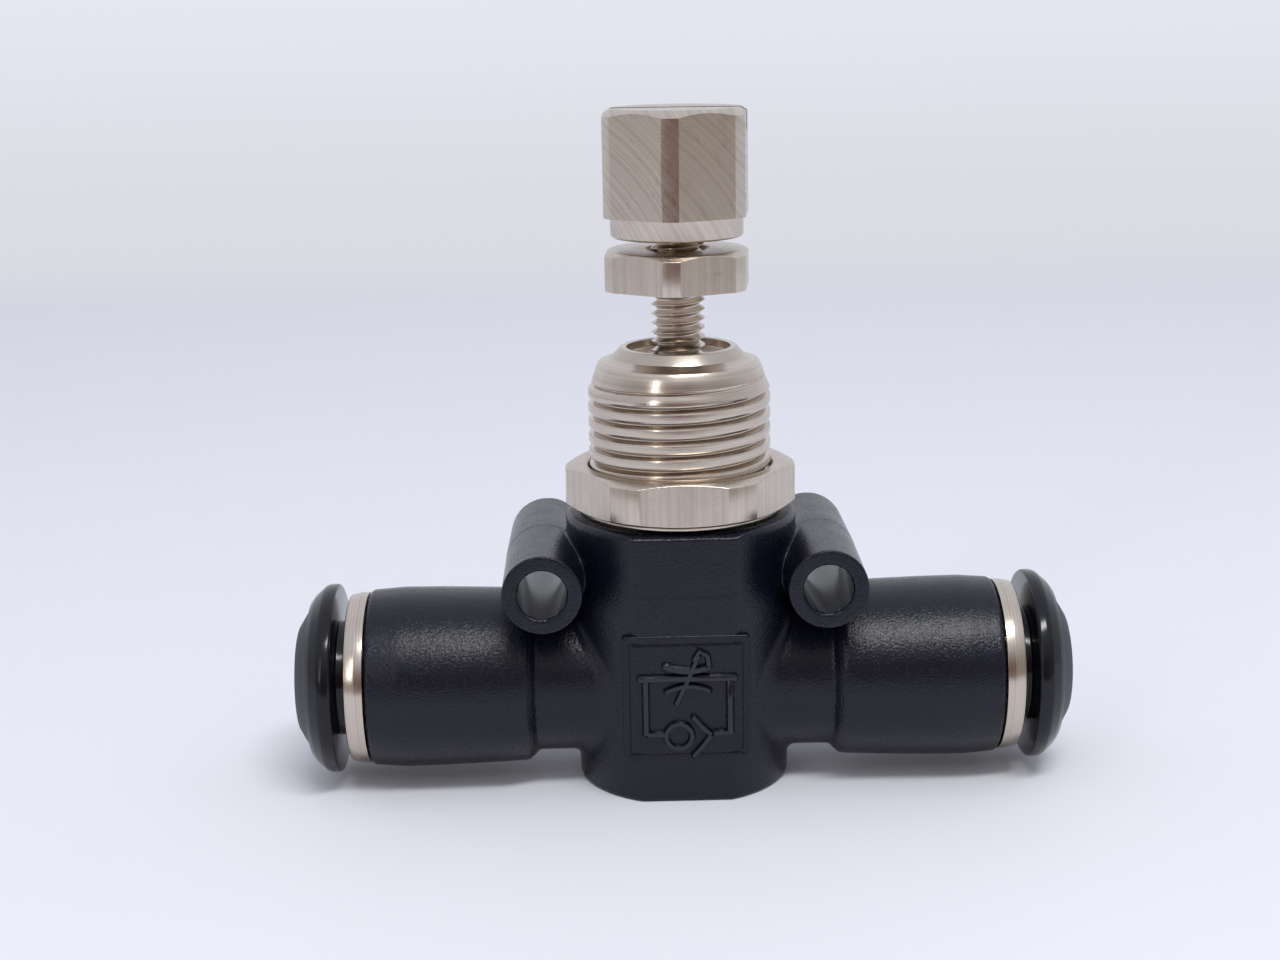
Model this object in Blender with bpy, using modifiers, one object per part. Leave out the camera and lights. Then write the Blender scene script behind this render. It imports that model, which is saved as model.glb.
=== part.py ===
"""In-line one-way flow regulator for 6 mm tube, with a panel thread.

A moulded nylon housing carries a push-in cartridge at each end, and a nickel-plated brass
bushing in its column. The needle screws through the bushing and throttles the air at the
bushing's lower end; a lip seal around that end lets the air pass freely the other way.

Units are metres, +Z is up and the air runs along X. The origin is the middle of the flat base.
"""

import math

import bmesh
import bpy
from mathutils import Matrix, Vector

MM = 0.001

# Clearances, and how far a cutting tool reaches past what it cuts
FIT_GAP = 0.10 * MM
CUT_OVER = 1.0 * MM
WELD_DISTANCE = 0.0002 * MM
THREAD_GAP = 0.07 * MM
RING_GAP = 0.05 * MM

# Facets of a full turn
COLUMN_FACET_COUNT = 48
RUN_FACET_COUNT = 36
HEXAGON_FACET_COUNT = 36
RING_FACET_COUNT = 28
BOSS_FACET_COUNT = 28
SMALL_FACET_COUNT = 24
WINDOW_FACET_COUNT = 12
ARC_COUNT = 3
EDGE_ARC_COUNT = 2

# Housing column
COLUMN_H = 18.2 * MM
COLUMN_BASE_R = 7.0 * MM
COLUMN_TOP_R = 7.62 * MM
BASE_CHAMFER = 0.2 * MM
SHOULDER_R = 0.4 * MM
FACET_DEPTH = 0.64 * MM
FACET_HALF_W = 3.6 * MM
FACET_STEP_DROP = 4.2 * MM
FACET_STEP = 0.07 * MM
FACET_LIP = 0.4 * MM
FACET_TOOL_REACH = 4.0 * MM

# Raised plaque on the front facet
PLAQUE_W = 8.2 * MM
PLAQUE_H = 8.5 * MM
PLAQUE_RISE = 0.35 * MM
PLAQUE_PROUD = 0.14 * MM
PLAQUE_BORDER = 0.42 * MM
PLAQUE_LINE = 0.12 * MM

# Tube run, from the column out to the end of a socket
AXIS_Z = 6.85 * MM
NECK_R = 5.1 * MM
NECK_END = 9.3 * MM
SOCKET_START = 10.5 * MM
SOCKET_START_R = 5.8 * MM
SOCKET_MAX_R = 6.0 * MM
SOCKET_END = 20.85 * MM
SOCKET_END_R = 5.85 * MM
SOCKET_EDGE_R = 0.3 * MM

# Mounting tubes
BOSS_OFFSET = 1.44 * MM
BOSS_DROP = 3.63 * MM
BOSS_END_R = 2.55 * MM
BOSS_MID_R = 2.61 * MM
BOSS_LENGTH = 15.2 * MM
BOSS_HOLE_R = 1.6 * MM
BOSS_HOLE_CHAMFER = 0.12 * MM

# Bores in the housing
TUBE_R = 3.0 * MM
TUBE_SEAT_LENGTH = 3.6 * MM
TUBE_BORE_GAP = 0.05 * MM
CARTRIDGE_R = 4.85 * MM
CARTRIDGE_DEPTH = 6.65 * MM
CHAMBER_R = 4.6 * MM
CHAMBER_FLOOR = 2.2 * MM
CHANNEL_R = 1.5 * MM
CHANNEL_SHIFT = 2.4 * MM

# Bushing
FLANGE_R = 6.65 * MM
FLANGE_T = 0.2 * MM
BUSHING_RISE = 10.55 * MM
THREAD_R = 5.95 * MM
LIP_HEIGHT = 2.3 * MM
LIP_R = 3.6 * MM
RECESS_R = 3.38 * MM
RECESS_DEPTH = 0.6 * MM
PLUG_R = 5.85 * MM
PLUG_LENGTH = 6.5 * MM
PLUG_GROOVE_RISE = 1.85 * MM
PLUG_RING_SECTION_R = 0.45 * MM
SLEEVE_R = 3.1 * MM
SLEEVE_DROP = 1.25 * MM
SEAT_LENGTH = 2.4 * MM
SEAT_R = 1.2 * MM
WINDOW_R = 0.8 * MM

# Check seal on the sleeve
SEAL_GROOVE_R = 2.7 * MM
SEAL_GROOVE_RISE = 0.4 * MM
SEAL_GROOVE_H = 1.4 * MM
SEAL_HEEL_H = 0.5 * MM
SEAL_LIP_T = 0.35 * MM

# Needle
STEM_R = 1.73 * MM
LAND_R = 2.25 * MM
LAND_RISE = 1.5 * MM
LAND_LENGTH = 4.6 * MM
NEEDLE_RING_DROP = 2.25 * MM
NEEDLE_RING_SECTION_R = 0.38 * MM
NECK_UNDER_LAND_R = 1.55 * MM
NECK_UNDER_LAND_LENGTH = 2.0 * MM
TAPER_REACH = 0.6 * MM
TIP_R = 0.45 * MM
NEEDLE_OPEN_TRAVEL = 1.2 * MM

# Knob
KNOB_AF = 9.0 * MM
KNOB_CORNER_CUT = 0.296 * MM
KNOB_RISE = 7.12 * MM
KNOB_COLLAR_R = 4.25 * MM
KNOB_COLLAR_H = 1.35 * MM
KNOB_H = 8.11 * MM
KNOB_CHAMFER_W = 0.73 * MM
KNOB_CHAMFER_H = 0.43 * MM
KNOB_TURN = math.radians(23.7)
KNOB_SLOT_W = 0.8 * MM
KNOB_SLOT_DEPTH = 1.45 * MM
KNOB_BORE_DEPTH = 5.4 * MM

# Lock nut
LOCK_NUT_AF = 9.0 * MM
LOCK_NUT_CORNER_CUT = 0.296 * MM
LOCK_NUT_DROP = 0.8 * MM
LOCK_NUT_H = 2.5 * MM
LOCK_NUT_CHAMFER_W = 0.52 * MM
LOCK_NUT_CHAMFER_H = 0.3 * MM
LOCK_NUT_COUNTERSINK = 0.35 * MM

# Panel nut
PANEL_NUT_AF = 14.0 * MM
PANEL_NUT_CORNER_CUT = 0.533 * MM
PANEL_NUT_H = 2.8 * MM
PANEL_NUT_CHAMFER_W = 0.7 * MM
PANEL_NUT_CHAMFER_H = 0.25 * MM
PANEL_NUT_COUNTERSINK = 0.15 * MM

# Push-in cartridge, by its stations along the tube's axis
TUBE_SEAL_LENGTH = 2.0 * MM
TUBE_SEAL_LIP_R = 2.9 * MM
HOLDER_LENGTH = 0.9 * MM
HOLDER_BORE_R = 3.3 * MM
CLAW_T = 0.25 * MM
CLAW_TIP_R = 2.92 * MM
CLAW_ROOT_R = 4.2 * MM
CLAW_RISE = 0.85 * MM
CLAW_COUNT = 8
CLAW_SLOT_W = 0.5 * MM
GUIDE_HEAD_R = 5.72 * MM
GUIDE_HEAD_EDGE_R = 0.16 * MM
GUIDE_HEAD_LENGTH = 1.25 * MM
GUIDE_BORE_R = 3.95 * MM
GUIDE_POCKET_R = 4.3 * MM
GUIDE_LIP_LENGTH = 1.6 * MM
BUTTON_NECK_R = 3.82 * MM
BUTTON_BORE_R = 3.05 * MM
BUTTON_RIM_R = 6.31 * MM
BUTTON_RIM_LENGTH = 0.7 * MM
BUTTON_RIM_EDGE_R = 0.2 * MM
BUTTON_CROWN_H = 2.0 * MM
BUTTON_MOUTH_W = 0.12 * MM
BUTTON_MOUTH_CHAMFER = 0.45 * MM
BUTTON_TRAVEL = 0.65 * MM
BUTTON_BARB_R = 4.15 * MM
BUTTON_BARB_LENGTH = 0.6 * MM
BUTTON_TIP_LENGTH = 0.9 * MM
BUTTON_SLOT_W = 0.6 * MM
BUTTON_SLOT_DEPTH = 2.4 * MM

# Sizes that follow from those above
FACET_STEP_Z = COLUMN_H - FACET_STEP_DROP
PLAQUE_Z = AXIS_Z + PLAQUE_RISE
BOSS_X = COLUMN_TOP_R + BOSS_OFFSET
BOSS_Z = COLUMN_H - BOSS_DROP
FLANGE_BOTTOM = COLUMN_H + FIT_GAP
FLANGE_TOP = FLANGE_BOTTOM + FLANGE_T
BUSHING_TOP = FLANGE_TOP + BUSHING_RISE
THREAD_TOP = BUSHING_TOP - LIP_HEIGHT
PLUG_BOTTOM = FLANGE_BOTTOM - PLUG_LENGTH
PLUG_GROOVE_Z = PLUG_BOTTOM + PLUG_GROOVE_RISE
SLEEVE_BOTTOM = AXIS_Z - SLEEVE_DROP
SEAT_TOP = SLEEVE_BOTTOM + SEAT_LENGTH
WINDOW_Z = (SEAT_TOP + PLUG_BOTTOM) / 2
SEAL_GROOVE_BOTTOM = SLEEVE_BOTTOM + SEAL_GROOVE_RISE
LAND_TOP = FLANGE_TOP + LAND_RISE
LAND_BOTTOM = LAND_TOP - LAND_LENGTH
NEEDLE_RING_Z = LAND_TOP - NEEDLE_RING_DROP
TAPER_TOP = LAND_BOTTOM - NECK_UNDER_LAND_LENGTH
TAPER_TIP = SEAT_TOP - TAPER_REACH
KNOB_CORNER_R = KNOB_AF / math.sqrt(3) - KNOB_CORNER_CUT
KNOB_TOP_R = KNOB_CORNER_R - KNOB_CHAMFER_W
KNOB_BOTTOM = BUSHING_TOP + KNOB_RISE
LOCK_NUT_CORNER_R = LOCK_NUT_AF / math.sqrt(3) - LOCK_NUT_CORNER_CUT
LOCK_NUT_TOP_R = LOCK_NUT_CORNER_R - LOCK_NUT_CHAMFER_W
LOCK_NUT_BOTTOM = KNOB_BOTTOM - LOCK_NUT_DROP - LOCK_NUT_H
PANEL_NUT_CORNER_R = PANEL_NUT_AF / math.sqrt(3) - PANEL_NUT_CORNER_CUT
PANEL_NUT_FACE_R = PANEL_NUT_CORNER_R - PANEL_NUT_CHAMFER_W
PANEL_NUT_BOTTOM = FLANGE_TOP + FIT_GAP
NECK_BORE_R = STEM_R + THREAD_GAP
NEEDLE_BORE_R = LAND_R + FIT_GAP
NEEDLE_BORE_TOP = LAND_TOP + NEEDLE_OPEN_TRAVEL + FIT_GAP
STEM_TOP = KNOB_BOTTOM + KNOB_BORE_DEPTH - FIT_GAP
DRAFT = math.atan((COLUMN_TOP_R - COLUMN_BASE_R) / COLUMN_H)
CARTRIDGE_FLOOR = SOCKET_END - CARTRIDGE_DEPTH
TUBE_STOP = CARTRIDGE_FLOOR - TUBE_SEAT_LENGTH
RING_R = CARTRIDGE_R - FIT_GAP
TUBE_SEAL_START = CARTRIDGE_FLOOR + FIT_GAP
HOLDER_START = TUBE_SEAL_START + TUBE_SEAL_LENGTH + FIT_GAP
CLAW_START = HOLDER_START + HOLDER_LENGTH + FIT_GAP
GUIDE_START = CLAW_START + CLAW_RISE + CLAW_T + FIT_GAP
GUIDE_HEAD_START = SOCKET_END + FIT_GAP
GUIDE_HEAD_END = GUIDE_HEAD_START + GUIDE_HEAD_LENGTH
BUTTON_RIM_START = GUIDE_HEAD_END + BUTTON_TRAVEL + FIT_GAP
BUTTON_BARB_END = GUIDE_HEAD_END - GUIDE_LIP_LENGTH - FIT_GAP
BUTTON_BARB_START = BUTTON_BARB_END - BUTTON_BARB_LENGTH
BUTTON_TIP = BUTTON_BARB_START - BUTTON_TIP_LENGTH
BUTTON_RIM_END = BUTTON_RIM_START + BUTTON_RIM_LENGTH
BUTTON_END = BUTTON_RIM_END + BUTTON_CROWN_H
BUTTON_MOUTH_R = BUTTON_BORE_R + BUTTON_MOUTH_CHAMFER
BUTTON_FACE_R = BUTTON_MOUTH_R + BUTTON_MOUTH_W

# The button's crown, as shares of its width and height from the mouth to the rim
BUTTON_CROWN = ((0.0, 1.0), (0.18, 0.81), (0.43, 0.58), (0.76, 0.38), (0.97, 0.06))

# Colour, roughness and metallic value of each finish
NYLON = ((0.022, 0.024, 0.030, 1.0), 0.50, 0.0)
ACETAL = ((0.010, 0.011, 0.014, 1.0), 0.20, 0.0)
NICKEL = ((0.66, 0.61, 0.56, 1.0), 0.25, 1.0)
STEEL = ((0.62, 0.62, 0.62, 1.0), 0.30, 1.0)
RUBBER = ((0.018, 0.018, 0.018, 1.0), 0.70, 0.0)
HOLDER_PLASTIC = ((0.60, 0.60, 0.58, 1.0), 0.45, 0.0)


def clear_scene():
    for item in list(bpy.data.objects):
        bpy.data.objects.remove(item, do_unlink=True)


def make_collection(name):
    group = bpy.data.collections.new(name)
    bpy.context.scene.collection.children.link(group)
    return group


def make_object(name, mesh, group):
    item = bpy.data.objects.new(name, mesh)
    group.objects.link(item)
    return item


def finish(item, look):
    """Give a piece its own material, and shade its round faces smooth."""
    colour, roughness, metallic = look
    material = bpy.data.materials.new(item.name)
    material.use_nodes = True
    shader = material.node_tree.nodes["Principled BSDF"]
    shader.inputs["Base Color"].default_value = colour
    shader.inputs["Roughness"].default_value = roughness
    shader.inputs["Metallic"].default_value = metallic
    item.data.materials.clear()
    item.data.materials.append(material)
    item.data.shade_smooth()
    item.data.set_sharp_from_angle(angle=math.radians(35))


def arc(centre, radius, start_deg, end_deg, count):
    """Points of an arc in a profile, as (radius, height) pairs."""
    points = []
    for index in range(count + 1):
        angle = math.radians(start_deg + (end_deg - start_deg) * index / count)
        points.append((centre[0] + radius * math.cos(angle), centre[1] + radius * math.sin(angle)))
    return points


def turned(name, profile, group, steps, ring=True):
    """Turn a profile of (radius, height) pairs about Z.

    The pairs run down the outer side. A ring's profile closes on itself; any other starts
    and ends on the axis.
    """
    mesh = bpy.data.meshes.new(name)
    edges = [(index, index + 1) for index in range(len(profile) - 1)]
    if ring:
        edges.append((len(profile) - 1, 0))
    mesh.from_pydata([(radius, 0.0, height) for radius, height in profile], edges, [])
    item = make_object(name, mesh, group)
    screw = item.modifiers.new("turn", "SCREW")
    screw.axis = "Z"
    screw.angle = math.tau
    screw.steps = steps
    screw.render_steps = steps
    screw.use_merge_vertices = True
    screw.merge_threshold = 0.000001
    return settled(item)


def settled(item):
    """Make an object's modifiers part of its mesh, with every face turned outward."""
    graph = bpy.context.evaluated_depsgraph_get()
    mesh = bpy.data.meshes.new_from_object(item.evaluated_get(graph))
    item.modifiers.clear()
    item.data = mesh
    mesh.name = item.name
    work = bmesh.new()
    work.from_mesh(mesh)
    bmesh.ops.recalc_face_normals(work, faces=work.faces)
    work.to_mesh(mesh)
    work.free()
    return item


def rod(name, radius, length, group, steps):
    """A cylinder about Z, centred on its origin."""
    half = length / 2
    profile = [(0.0, half), (radius, half), (radius, -half), (0.0, -half)]
    return turned(name, profile, group, steps, ring=False)


def block(name, size, group):
    """A box centred on its origin."""
    mesh = bpy.data.meshes.new(name)
    work = bmesh.new()
    bmesh.ops.create_cube(work, size=1.0, matrix=Matrix.Diagonal((*size, 1.0)))
    work.to_mesh(mesh)
    work.free()
    return make_object(name, mesh, group)


def hexagon(name, across_flats, height, group):
    """A hexagonal prism that stands on its origin, with flats facing -Y and +Y."""
    mesh = bpy.data.meshes.new(name)
    work = bmesh.new()
    corner = across_flats / math.sqrt(3)
    place = Matrix.Translation((0.0, 0.0, height / 2)) @ Matrix.Rotation(math.radians(30), 4, "Z")
    bmesh.ops.create_cone(work, cap_ends=True, segments=6, radius1=corner, radius2=corner,
                          depth=height, matrix=place)
    work.to_mesh(mesh)
    work.free()
    return make_object(name, mesh, group)


def combine(item, tool, operation):
    """Add an exact Boolean to an object, and put its tool away as a guide.

    Specks that the Boolean leaves are welded, so that the next one starts from a closed solid.
    """
    step = item.modifiers.new(tool.name, "BOOLEAN")
    step.operation = operation
    step.solver = "EXACT"
    step.object = tool
    weld = item.modifiers.new(tool.name + "_weld", "WELD")
    weld.merge_threshold = WELD_DISTANCE
    tool.hide_render = True
    tool.display_type = "WIRE"


def column_radius(height):
    return COLUMN_BASE_R + (COLUMN_TOP_R - COLUMN_BASE_R) * height / COLUMN_H


def facet_tool(name, depth, bottom, top, width, side, group):
    """A tool whose inner face lies on the drafted plane of a facet, on side -1 or +1 of Y."""
    reach = FACET_TOOL_REACH
    height = (top - bottom) / math.cos(DRAFT)
    tool = block(name, (width, reach, height), group)
    middle = (top + bottom) / 2
    plane = side * (column_radius(middle) - depth)
    tool.rotation_euler = (-side * DRAFT, 0.0, 0.0)
    outward = Vector((0.0, side * math.cos(DRAFT), -math.sin(DRAFT)))
    tool.location = Vector((0.0, plane, middle)) + outward * reach / 2
    return tool


def make_housing(parts, tools):
    """The moulded body: a drafted column, two sockets, two mounting tubes and a plaque."""
    shoulder = (COLUMN_TOP_R - SHOULDER_R, COLUMN_H - SHOULDER_R)
    profile = [(0.0, COLUMN_H), *arc(shoulder, SHOULDER_R, 90, 0, ARC_COUNT)]
    profile += [(column_radius(BASE_CHAMFER), BASE_CHAMFER), (COLUMN_BASE_R - BASE_CHAMFER, 0.0)]
    profile.append((0.0, 0.0))
    housing = turned("housing", profile, parts, COLUMN_FACET_COUNT, ring=False)

    for side in (-1, 1):
        label = "front" if side < 0 else "back"
        tool = facet_tool(f"facet_{label}", FACET_DEPTH, -CUT_OVER, COLUMN_H + CUT_OVER,
                          2 * FACET_HALF_W, side, tools)
        combine(housing, tool, "DIFFERENCE")
        tool = facet_tool(f"facet_step_{label}", FACET_DEPTH + FACET_STEP, FACET_STEP_Z,
                          COLUMN_H + CUT_OVER, 2 * FACET_HALF_W, side, tools)
        combine(housing, tool, "DIFFERENCE")
        thickness = 2 * CUT_OVER
        tool = block(f"facet_lip_{label}", (2 * FACET_HALF_W, thickness, thickness), tools)
        tool.rotation_euler = (math.radians(45), 0.0, 0.0)
        shift = thickness / 2 * math.sin(math.radians(45)) - FACET_LIP / 2
        edge = COLUMN_TOP_R - FACET_DEPTH - FACET_STEP
        tool.location = (0.0, side * (edge + shift), COLUMN_H + shift)
        combine(housing, tool, "DIFFERENCE")

    combine(housing, make_tube_run(tools), "UNION")
    for side in (-1, 1):
        label = "left" if side < 0 else "right"
        combine(housing, make_boss(f"boss_{label}", side, tools), "UNION")
    plaque = facet_tool("plaque", FACET_DEPTH - PLAQUE_PROUD, PLAQUE_Z - PLAQUE_H / 2,
                        PLAQUE_Z + PLAQUE_H / 2, PLAQUE_W, -1, tools)
    plaque.location += Vector((0.0, math.cos(DRAFT), math.sin(DRAFT))) * FACET_TOOL_REACH
    combine(housing, plaque, "UNION")

    cut_plaque_border(housing, tools)
    cut_bores(housing, tools)
    finish(housing, NYLON)
    return housing


def make_tube_run(tools):
    """The necks and sockets of both ends, one turned form along X."""
    blend = SOCKET_START - NECK_END
    half = [(NECK_R, NECK_END)]
    half.append((NECK_R + 0.12 * blend, NECK_END + 0.45 * blend))
    half.append((SOCKET_START_R - 0.14 * blend, SOCKET_START - 0.2 * blend))
    half.append((SOCKET_START_R, SOCKET_START))
    half.append((SOCKET_START_R + 0.25 * (SOCKET_MAX_R - SOCKET_START_R),
                 SOCKET_START + 0.3 * (SOCKET_END - SOCKET_START)))
    half.append((SOCKET_MAX_R, SOCKET_START + 0.78 * (SOCKET_END - SOCKET_START)))
    corner = (SOCKET_END_R - SOCKET_EDGE_R, SOCKET_END - SOCKET_EDGE_R)
    half += arc(corner, SOCKET_EDGE_R, 0, 90, EDGE_ARC_COUNT)
    half.append((0.0, SOCKET_END))
    outer = list(reversed(half)) + [(radius, -height) for radius, height in half]
    run = turned("tube_run", outer, tools, RUN_FACET_COUNT, ring=False)
    run.rotation_euler = (0.0, math.radians(90), 0.0)
    run.location = (0.0, 0.0, AXIS_Z)
    return run


def make_boss(name, side, tools):
    """A mounting tube along Y, a little thicker at its parting line."""
    half = BOSS_LENGTH / 2
    profile = [(0.0, half), (BOSS_END_R, half), (BOSS_MID_R, 0.0), (BOSS_END_R, -half), (0.0, -half)]
    boss = turned(name, profile, tools, BOSS_FACET_COUNT, ring=False)
    boss.rotation_euler = (math.radians(90), 0.0, 0.0)
    boss.location = (side * BOSS_X, 0.0, BOSS_Z)
    return boss


def cut_plaque_border(housing, tools):
    """A shallow line that frames the plaque: a pocket, and a plate that fills all but its rim."""
    width = PLAQUE_W - 2 * PLAQUE_BORDER
    height = PLAQUE_H - 2 * PLAQUE_BORDER
    depth = FACET_DEPTH - PLAQUE_PROUD
    pocket = facet_tool("plaque_pocket", depth + PLAQUE_LINE / 2, PLAQUE_Z - height / 2,
                        PLAQUE_Z + height / 2, width, -1, tools)
    combine(housing, pocket, "DIFFERENCE")
    width -= 2 * PLAQUE_LINE
    height -= 2 * PLAQUE_LINE
    plate = facet_tool("plaque_plate", depth, PLAQUE_Z - height / 2, PLAQUE_Z + height / 2,
                       width, -1, tools)
    plate.location += Vector((0.0, math.cos(DRAFT), math.sin(DRAFT))) * FACET_TOOL_REACH
    combine(housing, plate, "UNION")


def cut_bores(housing, tools):
    """The bushing's bore and chamber, the sockets, the air channels and the mounting holes."""
    tube_r = TUBE_R + TUBE_BORE_GAP
    for side in (-1, 1):
        label = "left" if side < 0 else "right"
        channel_start = CHAMBER_R - 0.6 * MM
        channel_end = TUBE_STOP + 0.5 * MM
        channel = rod(f"channel_{label}", CHANNEL_R, channel_end - channel_start, tools, SMALL_FACET_COUNT)
        channel.rotation_euler = (0.0, math.radians(90), 0.0)
        channel.location = (side * (channel_start + channel_end) / 2, 0.0,
                            AXIS_Z - side * CHANNEL_SHIFT)
        combine(housing, channel, "DIFFERENCE")

        profile = [(0.0, SOCKET_END + CUT_OVER), (CARTRIDGE_R, SOCKET_END + CUT_OVER)]
        profile += [(CARTRIDGE_R, CARTRIDGE_FLOOR), (tube_r, CARTRIDGE_FLOOR)]
        profile += [(tube_r, TUBE_STOP), (0.0, TUBE_STOP)]
        socket = turned(f"socket_{label}", profile, tools, RING_FACET_COUNT, ring=False)
        socket.rotation_euler = (0.0, side * math.radians(90), 0.0)
        socket.location = (0.0, 0.0, AXIS_Z)
        combine(housing, socket, "DIFFERENCE")

        half = BOSS_LENGTH / 2
        mouth = BOSS_HOLE_R + BOSS_HOLE_CHAMFER
        over = CUT_OVER
        profile = [(0.0, half + over), (mouth, half + over), (mouth, half)]
        profile += [(BOSS_HOLE_R, half - BOSS_HOLE_CHAMFER), (BOSS_HOLE_R, BOSS_HOLE_CHAMFER - half)]
        profile += [(mouth, -half), (mouth, -half - over), (0.0, -half - over)]
        hole = turned(f"mounting_hole_{label}", profile, tools, SMALL_FACET_COUNT, ring=False)
        hole.rotation_euler = (math.radians(90), 0.0, 0.0)
        hole.location = (side * BOSS_X, 0.0, BOSS_Z)
        combine(housing, hole, "DIFFERENCE")

    bore_r = PLUG_R + FIT_GAP
    shelf = PLUG_BOTTOM - FIT_GAP
    profile = [(0.0, COLUMN_H + CUT_OVER), (bore_r, COLUMN_H + CUT_OVER), (bore_r, shelf)]
    profile += [(CHAMBER_R, shelf), (CHAMBER_R, CHAMBER_FLOOR), (0.0, CHAMBER_FLOOR)]
    combine(housing, turned("chamber", profile, tools, RING_FACET_COUNT, ring=False), "DIFFERENCE")


def make_bushing(parts, tools):
    """The brass insert: panel thread and lip above, grooved plug and slotted sleeve below."""
    groove_half = PLUG_RING_SECTION_R + RING_GAP
    groove_r = PLUG_R + RING_GAP - 2 * groove_half
    run = THREAD_R - LIP_R
    fall = BUSHING_TOP - THREAD_TOP
    profile = [(RECESS_R, BUSHING_TOP), (LIP_R, BUSHING_TOP)]
    profile += [(LIP_R + 0.19 * run, BUSHING_TOP - 0.21 * fall)]
    profile += [(LIP_R + 0.53 * run, BUSHING_TOP - 0.52 * fall)]
    profile += [(LIP_R + 0.82 * run, BUSHING_TOP - 0.84 * fall), (LIP_R + 0.90 * run, THREAD_TOP)]
    profile += [(THREAD_R, THREAD_TOP - 0.25 * MM), (THREAD_R, FLANGE_TOP), (FLANGE_R, FLANGE_TOP)]
    profile += [(FLANGE_R, FLANGE_BOTTOM), (PLUG_R, FLANGE_BOTTOM)]
    profile += [(PLUG_R, PLUG_GROOVE_Z + groove_half), (groove_r, PLUG_GROOVE_Z + groove_half)]
    profile += [(groove_r, PLUG_GROOVE_Z - groove_half), (PLUG_R, PLUG_GROOVE_Z - groove_half)]
    profile += [(PLUG_R, PLUG_BOTTOM), (SLEEVE_R, PLUG_BOTTOM)]
    groove_top = SEAL_GROOVE_BOTTOM + SEAL_GROOVE_H
    profile += [(SLEEVE_R, groove_top), (SEAL_GROOVE_R, groove_top)]
    profile += [(SEAL_GROOVE_R, SEAL_GROOVE_BOTTOM), (SLEEVE_R, SEAL_GROOVE_BOTTOM)]
    profile += [(SLEEVE_R, SLEEVE_BOTTOM), (SEAT_R, SLEEVE_BOTTOM), (SEAT_R, SEAT_TOP)]
    profile += [(NEEDLE_BORE_R, SEAT_TOP), (NEEDLE_BORE_R, NEEDLE_BORE_TOP)]
    profile += [(NECK_BORE_R, NEEDLE_BORE_TOP), (NECK_BORE_R, BUSHING_TOP - RECESS_DEPTH)]
    profile += [(RECESS_R, BUSHING_TOP - RECESS_DEPTH)]
    bushing = turned("threaded_bushing", profile, parts, RING_FACET_COUNT)

    for label, turn in (("x", (0.0, math.radians(90), 0.0)), ("y", (math.radians(90), 0.0, 0.0))):
        window = rod(f"window_{label}", WINDOW_R, 2 * (SLEEVE_R + FIT_GAP), tools, WINDOW_FACET_COUNT)
        window.rotation_euler = turn
        window.location = (0.0, 0.0, WINDOW_Z)
        combine(bushing, window, "DIFFERENCE")
    finish(bushing, NICKEL)
    return bushing


def make_round_ring(name, outer_r, section_r, height, parts):
    """A ring of round section whose outer side lies at a given radius."""
    profile = arc((outer_r - section_r, height), section_r, 90, -225, 7)
    ring = turned(name, profile, parts, SMALL_FACET_COUNT)
    finish(ring, RUBBER)
    return ring


def make_check_seal(parts):
    """A U-section ring: its heel holds in the sleeve's groove, its lip leans on the chamber."""
    inner = SEAL_GROOVE_R + RING_GAP
    bottom = SEAL_GROOVE_BOTTOM + RING_GAP
    top = bottom + SEAL_GROOVE_H - 2 * RING_GAP
    heel = bottom + SEAL_HEEL_H
    lip = CHAMBER_R - RING_GAP
    heel_r = lip - 0.3 * MM
    profile = [(inner, top), (inner + SEAL_LIP_T, top), (inner + SEAL_LIP_T, heel)]
    profile += [(heel_r - SEAL_LIP_T, heel), (lip - SEAL_LIP_T, top), (lip, top), (heel_r, heel)]
    profile += [(heel_r - SEAL_LIP_T / 2, bottom), (inner, bottom)]
    seal = turned("check_seal", profile, parts, RING_FACET_COUNT)
    finish(seal, RUBBER)
    return seal


def make_needle(parts):
    """Screwed stem, land with its ring groove, and the throttling taper, in one turned piece."""
    groove_half = NEEDLE_RING_SECTION_R + RING_GAP
    groove_r = NEEDLE_BORE_R - RING_GAP - 2 * NEEDLE_RING_SECTION_R - RING_GAP
    tip_chamfer = 0.2 * MM
    relief = 0.3 * MM
    profile = [(0.0, STEM_TOP), (STEM_R, STEM_TOP), (STEM_R, LAND_TOP + relief)]
    profile += [(STEM_R - relief, LAND_TOP + relief), (STEM_R - relief, LAND_TOP)]
    profile += [(LAND_R, LAND_TOP), (LAND_R, NEEDLE_RING_Z + groove_half)]
    profile += [(groove_r, NEEDLE_RING_Z + groove_half), (groove_r, NEEDLE_RING_Z - groove_half)]
    profile += [(LAND_R, NEEDLE_RING_Z - groove_half), (LAND_R, LAND_BOTTOM)]
    profile += [(NECK_UNDER_LAND_R, LAND_BOTTOM), (NECK_UNDER_LAND_R, TAPER_TOP)]
    profile += [(TIP_R, TAPER_TIP), (TIP_R - tip_chamfer, TAPER_TIP - tip_chamfer)]
    profile += [(0.0, TAPER_TIP - tip_chamfer)]
    needle = turned("needle", profile, parts, SMALL_FACET_COUNT, ring=False)
    finish(needle, NICKEL)
    return needle


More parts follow.
